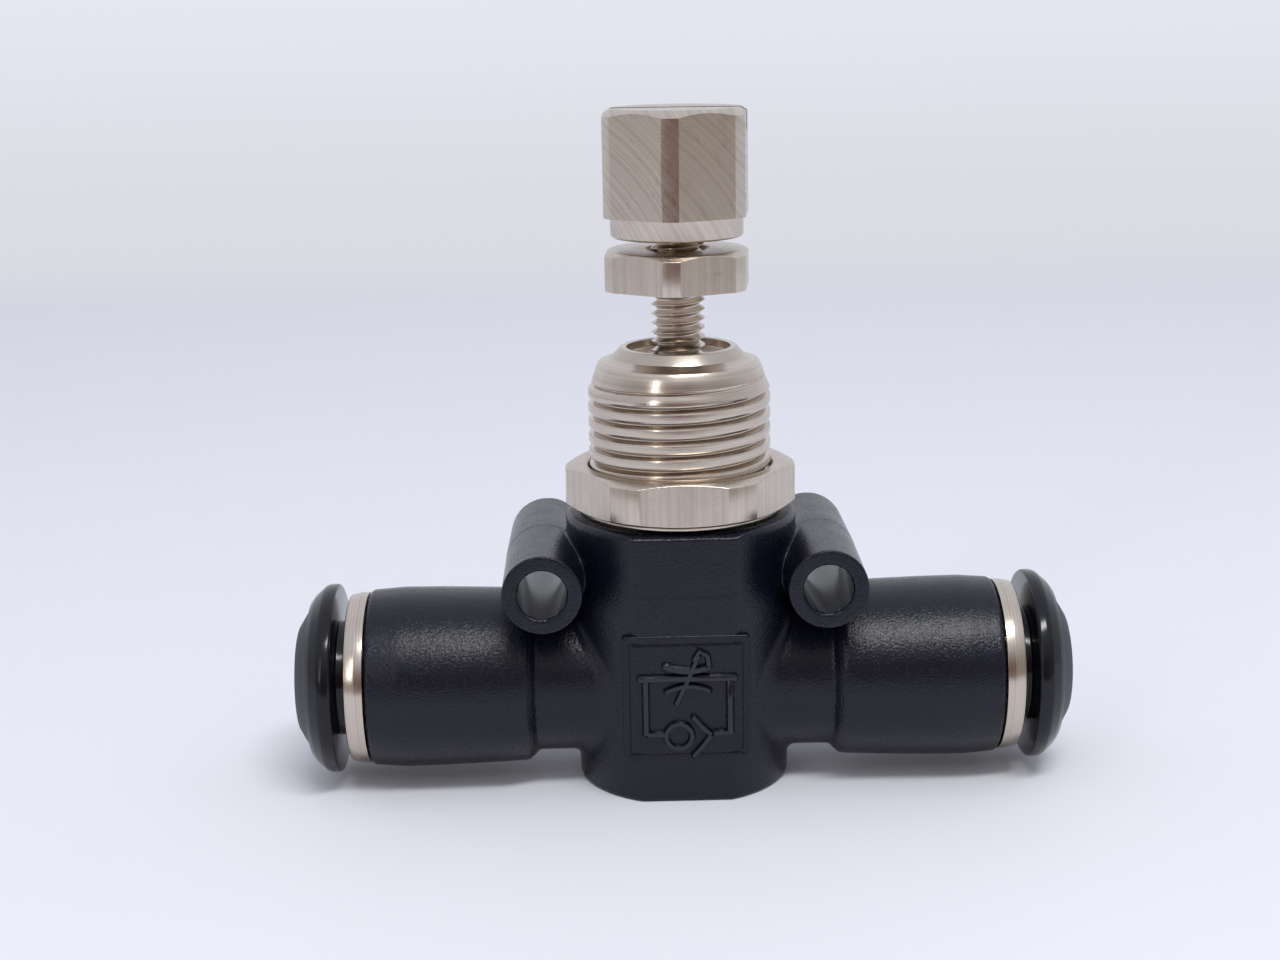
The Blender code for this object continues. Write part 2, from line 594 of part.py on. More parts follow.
def make_knob(parts, tools):
    """Hexagonal head with turned corners and a round collar, slotted for a screwdriver."""
    knob = hexagon("knob", KNOB_AF, KNOB_H - KNOB_COLLAR_H, parts)
    knob.location = (0.0, 0.0, KNOB_BOTTOM + KNOB_COLLAR_H)
    knob.rotation_euler = (0.0, 0.0, KNOB_TURN)
    top = KNOB_BOTTOM + KNOB_H
    over = CUT_OVER
    profile = [(0.0, top), (KNOB_TOP_R, top), (KNOB_CORNER_R, top - KNOB_CHAMFER_H)]
    profile += [(KNOB_CORNER_R, KNOB_BOTTOM - over), (0.0, KNOB_BOTTOM - over)]
    turning = turned("knob_turning", profile, tools, HEXAGON_FACET_COUNT, ring=False)
    combine(knob, turning, "INTERSECT")

    edge = 0.12 * MM
    profile = [(0.0, KNOB_BOTTOM + KNOB_COLLAR_H + over)]
    profile += [(KNOB_COLLAR_R, KNOB_BOTTOM + KNOB_COLLAR_H + over)]
    profile += [(KNOB_COLLAR_R, KNOB_BOTTOM + edge), (KNOB_COLLAR_R - edge, KNOB_BOTTOM)]
    profile += [(0.0, KNOB_BOTTOM)]
    collar = turned("knob_collar", profile, tools, RING_FACET_COUNT, ring=False)
    combine(knob, collar, "UNION")

    bore = rod("knob_bore", NECK_BORE_R, KNOB_BORE_DEPTH + over, tools, SMALL_FACET_COUNT)
    bore.location = (0.0, 0.0, KNOB_BOTTOM + (KNOB_BORE_DEPTH - over) / 2)
    combine(knob, bore, "DIFFERENCE")
    slot = block("knob_slot", (4 * KNOB_CORNER_R, KNOB_SLOT_W, 2 * KNOB_SLOT_DEPTH), tools)
    slot.location = (0.0, 0.0, top)
    slot.rotation_euler = (0.0, 0.0, KNOB_TURN - math.radians(30))
    combine(knob, slot, "DIFFERENCE")
    finish(knob, NICKEL)
    return knob


def make_lock_nut(parts, tools):
    """Thin hexagon nut, chamfered on its upper side only."""
    nut = hexagon("lock_nut", LOCK_NUT_AF, LOCK_NUT_H, parts)
    nut.location = (0.0, 0.0, LOCK_NUT_BOTTOM)
    nut.rotation_euler = (0.0, 0.0, KNOB_TURN)
    top = LOCK_NUT_BOTTOM + LOCK_NUT_H
    over = CUT_OVER
    sunk = LOCK_NUT_COUNTERSINK
    bore_r = NECK_BORE_R
    profile = [(bore_r + sunk, top), (LOCK_NUT_TOP_R, top)]
    profile += [(LOCK_NUT_CORNER_R, top - LOCK_NUT_CHAMFER_H), (LOCK_NUT_CORNER_R, LOCK_NUT_BOTTOM - over)]
    profile += [(bore_r + sunk, LOCK_NUT_BOTTOM - over), (bore_r + sunk, LOCK_NUT_BOTTOM)]
    profile += [(bore_r, LOCK_NUT_BOTTOM + sunk), (bore_r, top - sunk)]
    turning = turned("lock_nut_turning", profile, tools, RING_FACET_COUNT)
    combine(nut, turning, "INTERSECT")
    finish(nut, NICKEL)
    return nut


def make_panel_nut(parts, tools):
    """Broad hexagon nut, chamfered on both sides, that clamps the panel on the flange."""
    nut = hexagon("panel_nut", PANEL_NUT_AF, PANEL_NUT_H, parts)
    nut.location = (0.0, 0.0, PANEL_NUT_BOTTOM)
    bottom = PANEL_NUT_BOTTOM
    top = bottom + PANEL_NUT_H
    sunk = PANEL_NUT_COUNTERSINK
    bore_r = THREAD_R + THREAD_GAP
    profile = [(bore_r + sunk, top), (PANEL_NUT_FACE_R, top)]
    profile += [(PANEL_NUT_CORNER_R, top - PANEL_NUT_CHAMFER_H)]
    profile += [(PANEL_NUT_CORNER_R, bottom + PANEL_NUT_CHAMFER_H), (PANEL_NUT_FACE_R, bottom)]
    profile += [(bore_r + sunk, bottom), (bore_r, bottom + sunk), (bore_r, top - sunk)]
    turning = turned("panel_nut_turning", profile, tools, HEXAGON_FACET_COUNT)
    combine(nut, turning, "INTERSECT")
    finish(nut, NICKEL)
    return nut


def make_tube_seal(name, parts):
    """Elastic sleeve with a lip that grips the tube."""
    start = TUBE_SEAL_START
    end = start + TUBE_SEAL_LENGTH
    relief = TUBE_SEAL_LIP_R + 0.5 * MM
    profile = [(relief, end), (RING_R, end), (RING_R, start), (relief, start)]
    profile += [(TUBE_SEAL_LIP_R, start + 0.35 * TUBE_SEAL_LENGTH)]
    profile += [(TUBE_SEAL_LIP_R, start + 0.6 * TUBE_SEAL_LENGTH)]
    seal = turned(name, profile, parts, SMALL_FACET_COUNT)
    finish(seal, RUBBER)
    return seal


def make_seal_holder(name, parts):
    """Plain ring that keeps the seal in its place and backs the claws."""
    end = HOLDER_START + HOLDER_LENGTH
    flare = HOLDER_BORE_R + 0.5 * HOLDER_LENGTH
    profile = [(flare, end), (RING_R, end), (RING_R, HOLDER_START), (HOLDER_BORE_R, HOLDER_START)]
    profile += [(HOLDER_BORE_R, HOLDER_START + 0.5 * HOLDER_LENGTH)]
    holder = turned(name, profile, parts, SMALL_FACET_COUNT)
    finish(holder, HOLDER_PLASTIC)
    return holder


def make_claws(name, parts, tools, port):
    """Thin steel ring whose cut fingers lean inward and hold the tube."""
    rim = CLAW_START + CLAW_RISE
    profile = [(CLAW_ROOT_R, rim + CLAW_T), (RING_R, rim + CLAW_T), (RING_R, rim)]
    profile += [(CLAW_ROOT_R, rim), (CLAW_TIP_R, CLAW_START), (CLAW_TIP_R, CLAW_START + CLAW_T)]
    claws = turned(name, profile, parts, 4 * CLAW_COUNT)
    slot_end = CLAW_ROOT_R - 0.15 * MM
    for index in range(CLAW_COUNT // 2):
        tool = block(f"{name}_slot_{index}", (2 * slot_end, CLAW_SLOT_W, 4 * CLAW_RISE), tools)
        tool.parent = port
        tool.location = (0.0, 0.0, CLAW_START + CLAW_RISE / 2)
        tool.rotation_euler = (0.0, 0.0, math.tau * (index + 0.5) / CLAW_COUNT)
        combine(claws, tool, "DIFFERENCE")
    finish(claws, STEEL)
    return claws


def make_guide_ring(name, parts):
    """Nickel-plated ring pressed into the socket; its inner lip keeps the button in."""
    head_end = GUIDE_HEAD_END
    lip_start = head_end - GUIDE_LIP_LENGTH
    corner = (GUIDE_HEAD_R - GUIDE_HEAD_EDGE_R, head_end - GUIDE_HEAD_EDGE_R)
    profile = [(GUIDE_BORE_R, head_end), *arc(corner, GUIDE_HEAD_EDGE_R, 90, 0, EDGE_ARC_COUNT)]
    profile += [(GUIDE_HEAD_R, GUIDE_HEAD_START), (RING_R, GUIDE_HEAD_START)]
    profile += [(RING_R, GUIDE_START), (GUIDE_POCKET_R, GUIDE_START)]
    profile += [(GUIDE_POCKET_R, lip_start), (GUIDE_BORE_R, lip_start)]
    ring = turned(name, profile, parts, RING_FACET_COUNT)
    finish(ring, NICKEL)
    return ring


def make_release_button(name, parts, tools, port):
    """Push collar with a slit sleeve: barbs hold it in, its tip opens the claws."""
    crown_w = BUTTON_RIM_R - BUTTON_FACE_R
    rim_edge = (BUTTON_RIM_R - BUTTON_RIM_EDGE_R, BUTTON_RIM_START + BUTTON_RIM_EDGE_R)
    profile = [(BUTTON_MOUTH_R, BUTTON_END)]
    for across, up in BUTTON_CROWN:
        profile.append((BUTTON_FACE_R + across * crown_w, BUTTON_RIM_END + up * BUTTON_CROWN_H))
    profile += [(BUTTON_RIM_R, BUTTON_RIM_END)]
    profile += arc(rim_edge, BUTTON_RIM_EDGE_R, 0, -90, EDGE_ARC_COUNT)
    profile += [(BUTTON_NECK_R, BUTTON_RIM_START)]
    profile += [(BUTTON_NECK_R, BUTTON_BARB_END), (BUTTON_BARB_R, BUTTON_BARB_END)]
    profile += [(BUTTON_NECK_R, BUTTON_BARB_START), (BUTTON_BORE_R + 0.3 * MM, BUTTON_TIP)]
    profile += [(BUTTON_BORE_R, BUTTON_TIP), (BUTTON_BORE_R, BUTTON_END - BUTTON_MOUTH_CHAMFER)]
    button = turned(name, profile, parts, RING_FACET_COUNT)
    for index in range(2):
        tool = block(f"{name}_slit_{index}",
                     (4 * BUTTON_BARB_R, BUTTON_SLOT_W, 2 * BUTTON_SLOT_DEPTH), tools)
        tool.parent = port
        tool.location = (0.0, 0.0, BUTTON_TIP)
        tool.rotation_euler = (0.0, 0.0, math.radians(45 + 90 * index))
        combine(button, tool, "DIFFERENCE")
    finish(button, ACETAL)
    return button


def make_cartridge(side, parts, tools):
    """The pieces of one push-in end, on an empty whose local Z points out of the socket."""
    label = "left" if side < 0 else "right"
    port = bpy.data.objects.new(f"port_{label}", None)
    parts.objects.link(port)
    port.location = (0.0, 0.0, AXIS_Z)
    port.rotation_euler = (0.0, side * math.radians(90), 0.0)
    pieces = [
        make_tube_seal(f"tube_seal_{label}", parts),
        make_seal_holder(f"seal_holder_{label}", parts),
        make_claws(f"lock_claws_{label}", parts, tools, port),
        make_guide_ring(f"guide_ring_{label}", parts),
        make_release_button(f"release_button_{label}", parts, tools, port),
    ]
    for piece in pieces:
        piece.parent = port


def build():
    clear_scene()
    parts = make_collection("flow_regulator")
    tools = make_collection("cutters")
    make_housing(parts, tools)
    make_bushing(parts, tools)
    make_round_ring("bushing_o_ring", PLUG_R + RING_GAP, PLUG_RING_SECTION_R, PLUG_GROOVE_Z, parts)
    make_check_seal(parts)
    make_needle(parts)
    make_round_ring("needle_o_ring", NEEDLE_BORE_R - RING_GAP, NEEDLE_RING_SECTION_R,
                    NEEDLE_RING_Z, parts)
    make_knob(parts, tools)
    make_lock_nut(parts, tools)
    make_panel_nut(parts, tools)
    for side in (-1, 1):
        make_cartridge(side, parts, tools)


build()
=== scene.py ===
# %% [markdown]
# # An in-line flow regulator on a pale table
# This small pneumatic valve is about 51 mm long. A black nylon housing has a push-in
# socket for air tube at each end, and a nickel-plated brass bushing screws up out of its
# middle. A needle runs through the bushing; its knob sets how much air passes.
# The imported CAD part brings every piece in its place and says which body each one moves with.
# This script dresses it: rounder forms, cut threads, the texture of the moulding, light and
# camera. All sizes below are millimetres, and MM turns them into Blender's metres.

import math

import bmesh
import bpy
import numpy as np
from mathutils import Matrix, Vector


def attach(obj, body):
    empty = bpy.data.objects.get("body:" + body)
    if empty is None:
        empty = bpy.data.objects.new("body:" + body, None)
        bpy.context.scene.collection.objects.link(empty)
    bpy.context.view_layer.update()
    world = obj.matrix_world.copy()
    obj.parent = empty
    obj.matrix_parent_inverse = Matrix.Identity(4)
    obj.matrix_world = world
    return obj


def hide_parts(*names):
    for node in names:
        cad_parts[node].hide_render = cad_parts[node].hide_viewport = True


MM = 0.001
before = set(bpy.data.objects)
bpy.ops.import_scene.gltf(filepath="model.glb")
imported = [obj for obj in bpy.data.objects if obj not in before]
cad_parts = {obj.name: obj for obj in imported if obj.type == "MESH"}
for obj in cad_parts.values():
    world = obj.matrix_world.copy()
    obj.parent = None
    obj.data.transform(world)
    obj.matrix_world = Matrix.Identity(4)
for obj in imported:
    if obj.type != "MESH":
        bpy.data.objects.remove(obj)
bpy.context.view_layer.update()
BODY = "valve_body"

# %% [markdown]
# ## Colours and nodes
# Colours are picked as sRGB hex values, the way a paint program shows them, but the shaders
# reckon in linear light, so one function turns one into the other. A second small function
# adds a shader node, sets its values and links its sockets, so that each material further
# down reads as a list of what feeds what. A few more build on it: sums, ramps, mixed colours.

# %% Colour and node helpers
def linear(hex_colour):
    """An sRGB hex colour as linear red, green, blue and alpha."""
    parts = [int(hex_colour[index:index + 2], 16) / 255 for index in (1, 3, 5)]
    curve = [part / 12.92 if part <= 0.04045 else ((part + 0.055) / 1.055) ** 2.4 for part in parts]
    return (*curve, 1.0)


def add_node(tree, kind, values=None, links=None, **settings):
    """Add a node; values fill its inputs, links join other sockets to them."""
    node = tree.nodes.new(kind)
    for key, value in settings.items():
        setattr(node, key, value)
    for key, value in (values or {}).items():
        node.inputs[key].default_value = value
    for key, socket in (links or {}).items():
        tree.links.new(socket, node.inputs[key])
    return node


def reckon(tree, operation, first, second=None, clamp=False):
    """A sum in the shader; each term is a number or another node's socket."""
    node = add_node(tree, "ShaderNodeMath", operation=operation, use_clamp=clamp)
    for index, term in enumerate((first, second)):
        if isinstance(term, (int, float)):
            node.inputs[index].default_value = term
        elif term is not None:
            tree.links.new(term, node.inputs[index])
    return node.outputs["Value"]


def ramp(tree, value, low, high):
    """0 below the low value, 1 above the high one, and a smooth rise between."""
    node = add_node(tree, "ShaderNodeMapRange", {"From Min": low, "From Max": high}, {"Value": value},
                    interpolation_type="SMOOTHSTEP")
    return node.outputs["Result"]


def mix_colours(tree, share, first, second):
    """From the first colour to the second as the share goes from 0 to 1."""
    node = add_node(tree, "ShaderNodeMix", links={"Factor": share}, data_type="RGBA")
    for socket_name, colour in (("A", first), ("B", second)):
        if isinstance(colour, str):
            node.inputs[socket_name].default_value = linear(colour)
        else:
            tree.links.new(colour, node.inputs[socket_name])
    return node.outputs["Result"]


def coordinates(tree, place):
    """X, Y and Z of a place, each a socket of its own."""
    return add_node(tree, "ShaderNodeSeparateXYZ", links={"Vector": place}).outputs


def distance_from_axis(tree, parts):
    """How far a place lies from the Z axis."""
    flat = add_node(tree, "ShaderNodeCombineXYZ", links={"X": parts["X"], "Y": parts["Y"]})
    out = add_node(tree, "ShaderNodeVectorMath", links={0: flat.outputs["Vector"]}, operation="LENGTH")
    return out.outputs["Value"]


def new_material(name):
    """A material with its node tree, its shader, and coordinates in the piece's own metres."""
    material = bpy.data.materials.new(name)
    material.use_nodes = True
    tree = material.node_tree
    shader = tree.nodes["Principled BSDF"]
    place = add_node(tree, "ShaderNodeTexCoord")
    return material, tree, shader, place.outputs["Object"]


print("half way up the hex scale, #808080, is only", round(linear("#808080")[0], 3), "in linear light")

# %% [markdown]
# ## Turned forms
# Most metal pieces here were turned on a lathe, so they are profiles spun about an axis.
# A profile is a list of corners, each with the radius of its rounding, because no real edge
# is perfectly sharp and the rounding is what catches the light. The skin of the form is
# built from rows of points. A row may also climb as it goes round, and at the seam it then
# joins a later row. That is all a screw thread needs.

# %% Skins from rows of points
WELD_MM = 0.0002
ROUNDING_STEP_DEG = 15


def rounded(corners, ring=True):
    """The points of a profile from (radius, height, rounding) corners."""
    points = []
    count = len(corners)
    for index, (radius, height, rounding) in enumerate(corners):
        here = Vector((radius, height))
        if rounding == 0 or (not ring and index in (0, count - 1)):
            points.append(tuple(here))
            continue
        back = Vector(corners[index - 1][:2]) - here
        ahead = Vector(corners[(index + 1) % count][:2]) - here
        half = back.angle(ahead) / 2
        cut = min(rounding / math.tan(half), 0.48 * back.length, 0.48 * ahead.length)
        true_radius = cut * math.tan(half)
        back.normalize()
        ahead.normalize()
        centre = here + (back + ahead).normalized() * true_radius / math.sin(half)
        first = here + back * cut - centre
        last = here + ahead * cut - centre
        sweep = first.angle_signed(last)
        steps = max(3, round(abs(sweep) / math.radians(ROUNDING_STEP_DEG)))
        for step in range(steps + 1):
            turn = -sweep * step / steps
            points.append(tuple(centre + Matrix.Rotation(turn, 2) @ first))
    return points


def put_in_scene(name, data):
    """An object with the given data, linked to the scene."""
    item = bpy.data.objects.new(name, data)
    bpy.context.scene.collection.objects.link(item)
    return item


def add_mesh(name, points, faces):
    """A smooth-shaded mesh object as it is given; points come in millimetres."""
    mesh = bpy.data.meshes.new(name)
    mesh.from_pydata((np.asarray(points) * MM).tolist(), [], faces)
    mesh.shade_smooth()
    return put_in_scene(name, mesh)


def add_object(name, points, faces):
    """A smooth-shaded mesh object with its doubled points welded and its faces turned outward."""
    item = add_mesh(name, points, faces)
    work = bmesh.new()
    work.from_mesh(item.data)
    bmesh.ops.remove_doubles(work, verts=work.verts, dist=WELD_MM * MM)
    bmesh.ops.recalc_face_normals(work, faces=work.faces)
    work.to_mesh(item.data)
    work.free()
    item.data.shade_smooth()
    return item


def skin(name, radius, height, seam=None, ring=True):
    """A skin from rows of radii and heights; seam says which row each row joins there."""
    rows, steps = radius.shape
    angle = np.arange(steps) * math.tau / steps
    points = np.stack([radius * np.cos(angle), radius * np.sin(angle), height], axis=-1)
    seam = np.arange(rows) if seam is None else seam
    row = np.arange(rows if ring else rows - 1)[:, None]
    after = (row + 1) % rows
    step = np.arange(steps)[None, :]
    turn = (step + 1) % steps
    wraps = step == steps - 1
    near = np.where(wraps, seam[row], row)
    far = np.where(wraps, seam[after], after)
    corners = [row * steps + step, near * steps + turn, far * steps + turn, after * steps + step]
    faces = np.stack(corners, axis=-1).reshape(-1, 4)
    return add_object(name, points.reshape(-1, 3), faces.tolist())


def turned(name, corners, steps=144, ring=True):
    """A turned piece from the corners of its profile."""
    profile = np.array(rounded(corners, ring))
    spread = np.ones(steps)
    return skin(name, profile[:, :1] * spread, profile[:, 1:] * spread, ring=ring)


def wear(item, material):
    """Give a piece one material, in place of what it had."""
    item.data.materials.clear()
    item.data.materials.append(material)


def even_shading(item):
    """Let the large faces rule the shading, so that a rounding doesn't bend them."""
    step = item.modifiers.new("even_shading", "WEIGHTED_NORMAL")
    step.keep_sharp = True
    step.weight = 60


def dress(item, body, material, slot, *nodes):
    """Hand a finished piece to its CAD body, in place of the nodes it stands for."""
    wear(item, material)
    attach(item, body)
    if nodes:
        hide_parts(*nodes)
    print(item.name, "has", len(item.data.polygons), "faces and rides on", body)


# %% [markdown]
# ## Nickel-plated brass
# The bushing, nuts, knob, needle and guide rings are brass with a thin bright nickel plate.
# Nickel is a warm, slightly yellow white metal. It mirrors the room, so most of its look
# comes from what stands around it. What the plate can't hide are the tool marks of the brass
# below: rings on turned faces, straight scratches on drawn flats, sweeping arcs on milled
# ones. Each finish is the same metal with other marks, in its bump and faintly in its tone.

# %% Nickel finishes
NICKEL = "#CFC4B8"
NICKEL_IN_MARKS = "#C0B5A9"
# Scales of the tool marks' noises: about 0.14, 0.24 and 0.29 mm from mark to mark
RINGS_PER_METRE = 7000.0
LINES_PER_METRE = 4200.0
ARCS_PER_METRE = 3400.0
MILL_CENTRE = (-12.0, 0.0, 30.0)


def nickel_material(name, roughness, wave, depth_mm):
    """Nickel plate over brass; wave gives the heights of the tool marks from the coordinates."""
    material, tree, shader, place = new_material(name)
    shader.inputs["Metallic"].default_value = 1.0
    marks = wave(tree, place)
    depth = add_node(tree, "ShaderNodeMapRange", {"From Min": 0.32, "From Max": 0.62}, {"Value": marks})
    tone = mix_colours(tree, depth.outputs["Result"], NICKEL_IN_MARKS, NICKEL)
    tree.links.new(tone, shader.inputs["Base Color"])
    cloud = add_node(tree, "ShaderNodeTexNoise", {"Scale": 900.0, "Detail": 3.0}, {"Vector": place})
    uneven = add_node(tree, "ShaderNodeMapRange", {"To Min": roughness * 0.8, "To Max": roughness * 1.35},
                      {"Value": cloud.outputs["Fac"]})
    tree.links.new(uneven.outputs["Result"], shader.inputs["Roughness"])
    bump = add_node(tree, "ShaderNodeBump", {"Strength": 1.0, "Distance": depth_mm * MM}, {"Height": marks})
    tree.links.new(bump.outputs["Normal"], shader.inputs["Normal"])
    return material


def turning_marks(tree, place):
    """Rings round Z, as a cutting tool leaves them, on round faces and on flat ones."""
    parts = coordinates(tree, place)
    both = reckon(tree, "ADD", parts["Z"], distance_from_axis(tree, parts))
    noise = add_node(tree, "ShaderNodeTexNoise", {"Scale": RINGS_PER_METRE, "Detail": 2.0},
                     {"W": both}, noise_dimensions="1D")
    return noise.outputs["Fac"]


def drawn_marks(tree, place):
    """Straight lines along Z, as on drawn hexagon bar: a noise that is stretched along Z."""
    squash = add_node(tree, "ShaderNodeMapping", {"Scale": (1.0, 1.0, 0.01)}, {"Vector": place})
    noise = add_node(tree, "ShaderNodeTexNoise", {"Scale": LINES_PER_METRE, "Detail": 4.0},
                     {"Vector": squash.outputs["Vector"]})
    return noise.outputs["Fac"]


def milled_marks(tree, place):
    """Sweeping arcs of a face mill, whose centre lay below the knob and to its left."""
    shift = add_node(tree, "ShaderNodeMapping", {"Location": -Vector(MILL_CENTRE) * MM}, {"Vector": place})
    out = add_node(tree, "ShaderNodeVectorMath", links={0: shift.outputs["Vector"]}, operation="LENGTH")
    noise = add_node(tree, "ShaderNodeTexNoise", {"Scale": ARCS_PER_METRE, "Detail": 4.0},
                     {"W": out.outputs["Value"]}, noise_dimensions="1D")
    return noise.outputs["Fac"]


nickel_turned = nickel_material("nickel_plate_turned", 0.20, turning_marks, 0.0035)
nickel_drawn = nickel_material("nickel_plate_drawn", 0.27, drawn_marks, 0.011)
nickel_milled = nickel_material("nickel_plate_milled", 0.27, milled_marks, 0.012)
print("nickel finishes:", nickel_turned.name, nickel_drawn.name, nickel_milled.name)

# %% [markdown]
# ## Black nylon, black acetal, rubber and steel
# The housing is glass-filled nylon from a mould whose walls were spark eroded. That leaves a
# fine grain of about 0.15 mm, which breaks a highlight into speckles. The mould parts along
# the plane through both sockets, and where its halves met there is a hairline seam.
# The release buttons are acetal: the same black, but smooth, so it shines.
# Inside the sockets are rubber seals, a pale holder ring and claws of spring steel.

# %% Plastics, rubber and steel
NYLON = "#0C0F1C"
GRAINS_PER_METRE = 6500.0
SEAM_INNER, SEAM_OUTER = 0.03, 0.09
SEAM_IN_GRAINS = 2.5
PIN_POLISH = 0.16
# The two mounting tubes, here and in the housing further down
BOSS_X = 9.06
BOSS_Z = 14.57
BOSS_HOLE_R = 1.6
# The matt crown of a release button, along the tube from the valve's middle
ACETAL = "#0E1017"
ACETAL_CROWN = "#2A2C34"
CROWN_R = 5.25
CROWN_START = 24.2


def seam_line(tree, place):
    """1 on the mould's parting plane, 0 beyond the seam's outer limit."""
    away = reckon(tree, "ABSOLUTE", coordinates(tree, place)["Y"])
    line = add_node(tree, "ShaderNodeMapRange",
                    {"From Min": SEAM_INNER * MM, "From Max": SEAM_OUTER * MM, "To Min": 1.0, "To Max": 0.0},
                    {"Value": away})
    return line.outputs["Result"]


def in_bore(tree, place):
    """1 on the walls of the mounting tubes' holes, which a polished pin moulds, 0 elsewhere."""
    parts = coordinates(tree, place)
    out = reckon(tree, "ABSOLUTE", parts["X"])
    spot = add_node(tree, "ShaderNodeCombineXYZ", links={"X": out, "Z": parts["Z"]})
    away = add_node(tree, "ShaderNodeVectorMath", {1: (BOSS_X * MM, 0.0, BOSS_Z * MM)},
                    {0: spot.outputs["Vector"]}, operation="DISTANCE")
    return reckon(tree, "LESS_THAN", away.outputs["Value"], (BOSS_HOLE_R + 0.04) * MM)


def nylon_material(name, seam, rough_low, rough_high, grain_mm, specular):
    """Glass-filled nylon with a spark-eroded grain, and a parting seam if asked."""
    material, tree, shader, place = new_material(name)
    shader.inputs["Base Color"].default_value = linear(NYLON)
    shader.inputs["IOR"].default_value = 1.53
    shader.inputs["Specular IOR Level"].default_value = specular
    grain = add_node(tree, "ShaderNodeTexNoise",
                     {"Scale": GRAINS_PER_METRE, "Detail": 2.0, "Roughness": 0.65}, {"Vector": place})
    height = grain.outputs["Fac"]
    if seam:
        sink = reckon(tree, "MULTIPLY", seam_line(tree, place), SEAM_IN_GRAINS)
        height = reckon(tree, "SUBTRACT", height, sink)
    patches = add_node(tree, "ShaderNodeTexNoise", {"Scale": 700.0, "Detail": 4.0}, {"Vector": place})
    blend = add_node(tree, "ShaderNodeMix", {"Factor": 0.6},
                     {"A": patches.outputs["Fac"], "B": grain.outputs["Fac"]})
    uneven = add_node(tree, "ShaderNodeMapRange",
                      {"From Min": 0.3, "From Max": 0.7, "To Min": rough_low, "To Max": rough_high},
                      {"Value": blend.outputs["Result"]})
    smooth = in_bore(tree, place)
    gloss = add_node(tree, "ShaderNodeMix", {"B": PIN_POLISH},
                     {"Factor": smooth, "A": uneven.outputs["Result"]})
    tree.links.new(gloss.outputs["Result"], shader.inputs["Roughness"])
    height = reckon(tree, "MULTIPLY", height, reckon(tree, "SUBTRACT", 1.0, smooth))
    bump = add_node(tree, "ShaderNodeBump", {"Strength": 1.0, "Distance": grain_mm * MM}, {"Height": height})
    tree.links.new(bump.outputs["Normal"], shader.inputs["Normal"])
    return material


def plain_material(name, hex_colour, roughness, metallic=0.0):
    """A finish without a pattern."""
    material, _, shader, _ = new_material(name)
    shader.inputs["Base Color"].default_value = linear(hex_colour)
    shader.inputs["Roughness"].default_value = roughness
    shader.inputs["Metallic"].default_value = metallic
    shader.inputs["IOR"].default_value = 1.5
    return material


def acetal_material():
    """Smooth acetal, matt where the button's crown stands inside its glossy rim."""
    material, tree, shader, place = new_material("acetal_black")
    shader.inputs["IOR"].default_value = 1.48
    shader.inputs["Specular IOR Level"].default_value = 0.38
    smudge = add_node(tree, "ShaderNodeTexNoise", {"Scale": 500.0, "Detail": 5.0}, {"Vector": place})
    uneven = add_node(tree, "ShaderNodeMapRange", {"To Min": 0.10, "To Max": 0.20},
                      {"Value": smudge.outputs["Fac"]})
    parts = coordinates(tree, place)
    inside = reckon(tree, "LESS_THAN", distance_from_axis(tree, parts), CROWN_R * MM)
    beyond = reckon(tree, "GREATER_THAN", parts["Z"], CROWN_START * MM)
    crown = reckon(tree, "MULTIPLY", inside, beyond)
    tone = mix_colours(tree, crown, ACETAL, ACETAL_CROWN)
    tree.links.new(tone, shader.inputs["Base Color"])
    matt = add_node(tree, "ShaderNodeMix", {"B": 0.5}, {"Factor": crown, "A": uneven.outputs["Result"]})
    tree.links.new(matt.outputs["Result"], shader.inputs["Roughness"])
    return material


nylon = nylon_material("nylon_spark_eroded", True, 0.13, 0.33, 0.040, 0.33)
nylon_plaque = nylon_material("nylon_plaque", False, 0.14, 0.38, 0.030, 0.31)
nylon_symbol = nylon_material("nylon_polished_strokes", False, 0.13, 0.20, 0.004, 0.5)
acetal = acetal_material()
rubber = plain_material("nitrile_rubber", "#1C1C1C", 0.6)
holder_nylon = plain_material("holder_nylon", "#C4C2BA", 0.45)
spring_steel = plain_material("spring_steel", "#C8C8C8", 0.28, metallic=1.0)
print("plastics:", nylon.name, acetal.name, rubber.name)

# %% [markdown]
# ## The housing as a distance field
# The moulded body is a column, two necks with sockets and two mounting tubes, and all of them
# flow into one another through small fillets. Such blends are hard to model by hand. A
# distance field makes them easy: a function gives each point in space its distance from the
# plastic, and two such functions join with a rounded corner of a chosen radius. The skin is
# then read off on a grid, each point is pulled onto the true surface, and the shading normals
# come from the field itself, so that highlights run smoothly over every blend.

# %% Rounded joins
def outer_edge(first, second, radius):
    """Inside both forms, with the edge between them rounded."""
    over = np.hypot(np.maximum(first + radius, 0), np.maximum(second + radius, 0))
    return np.minimum(np.maximum(first, second), -radius) + over


def inner_fillet(first, second, radius):
    """Inside either form, with a fillet where they meet."""
    under = np.hypot(np.maximum(radius - first, 0), np.maximum(radius - second, 0))
    return np.maximum(np.minimum(first, second), radius) - under


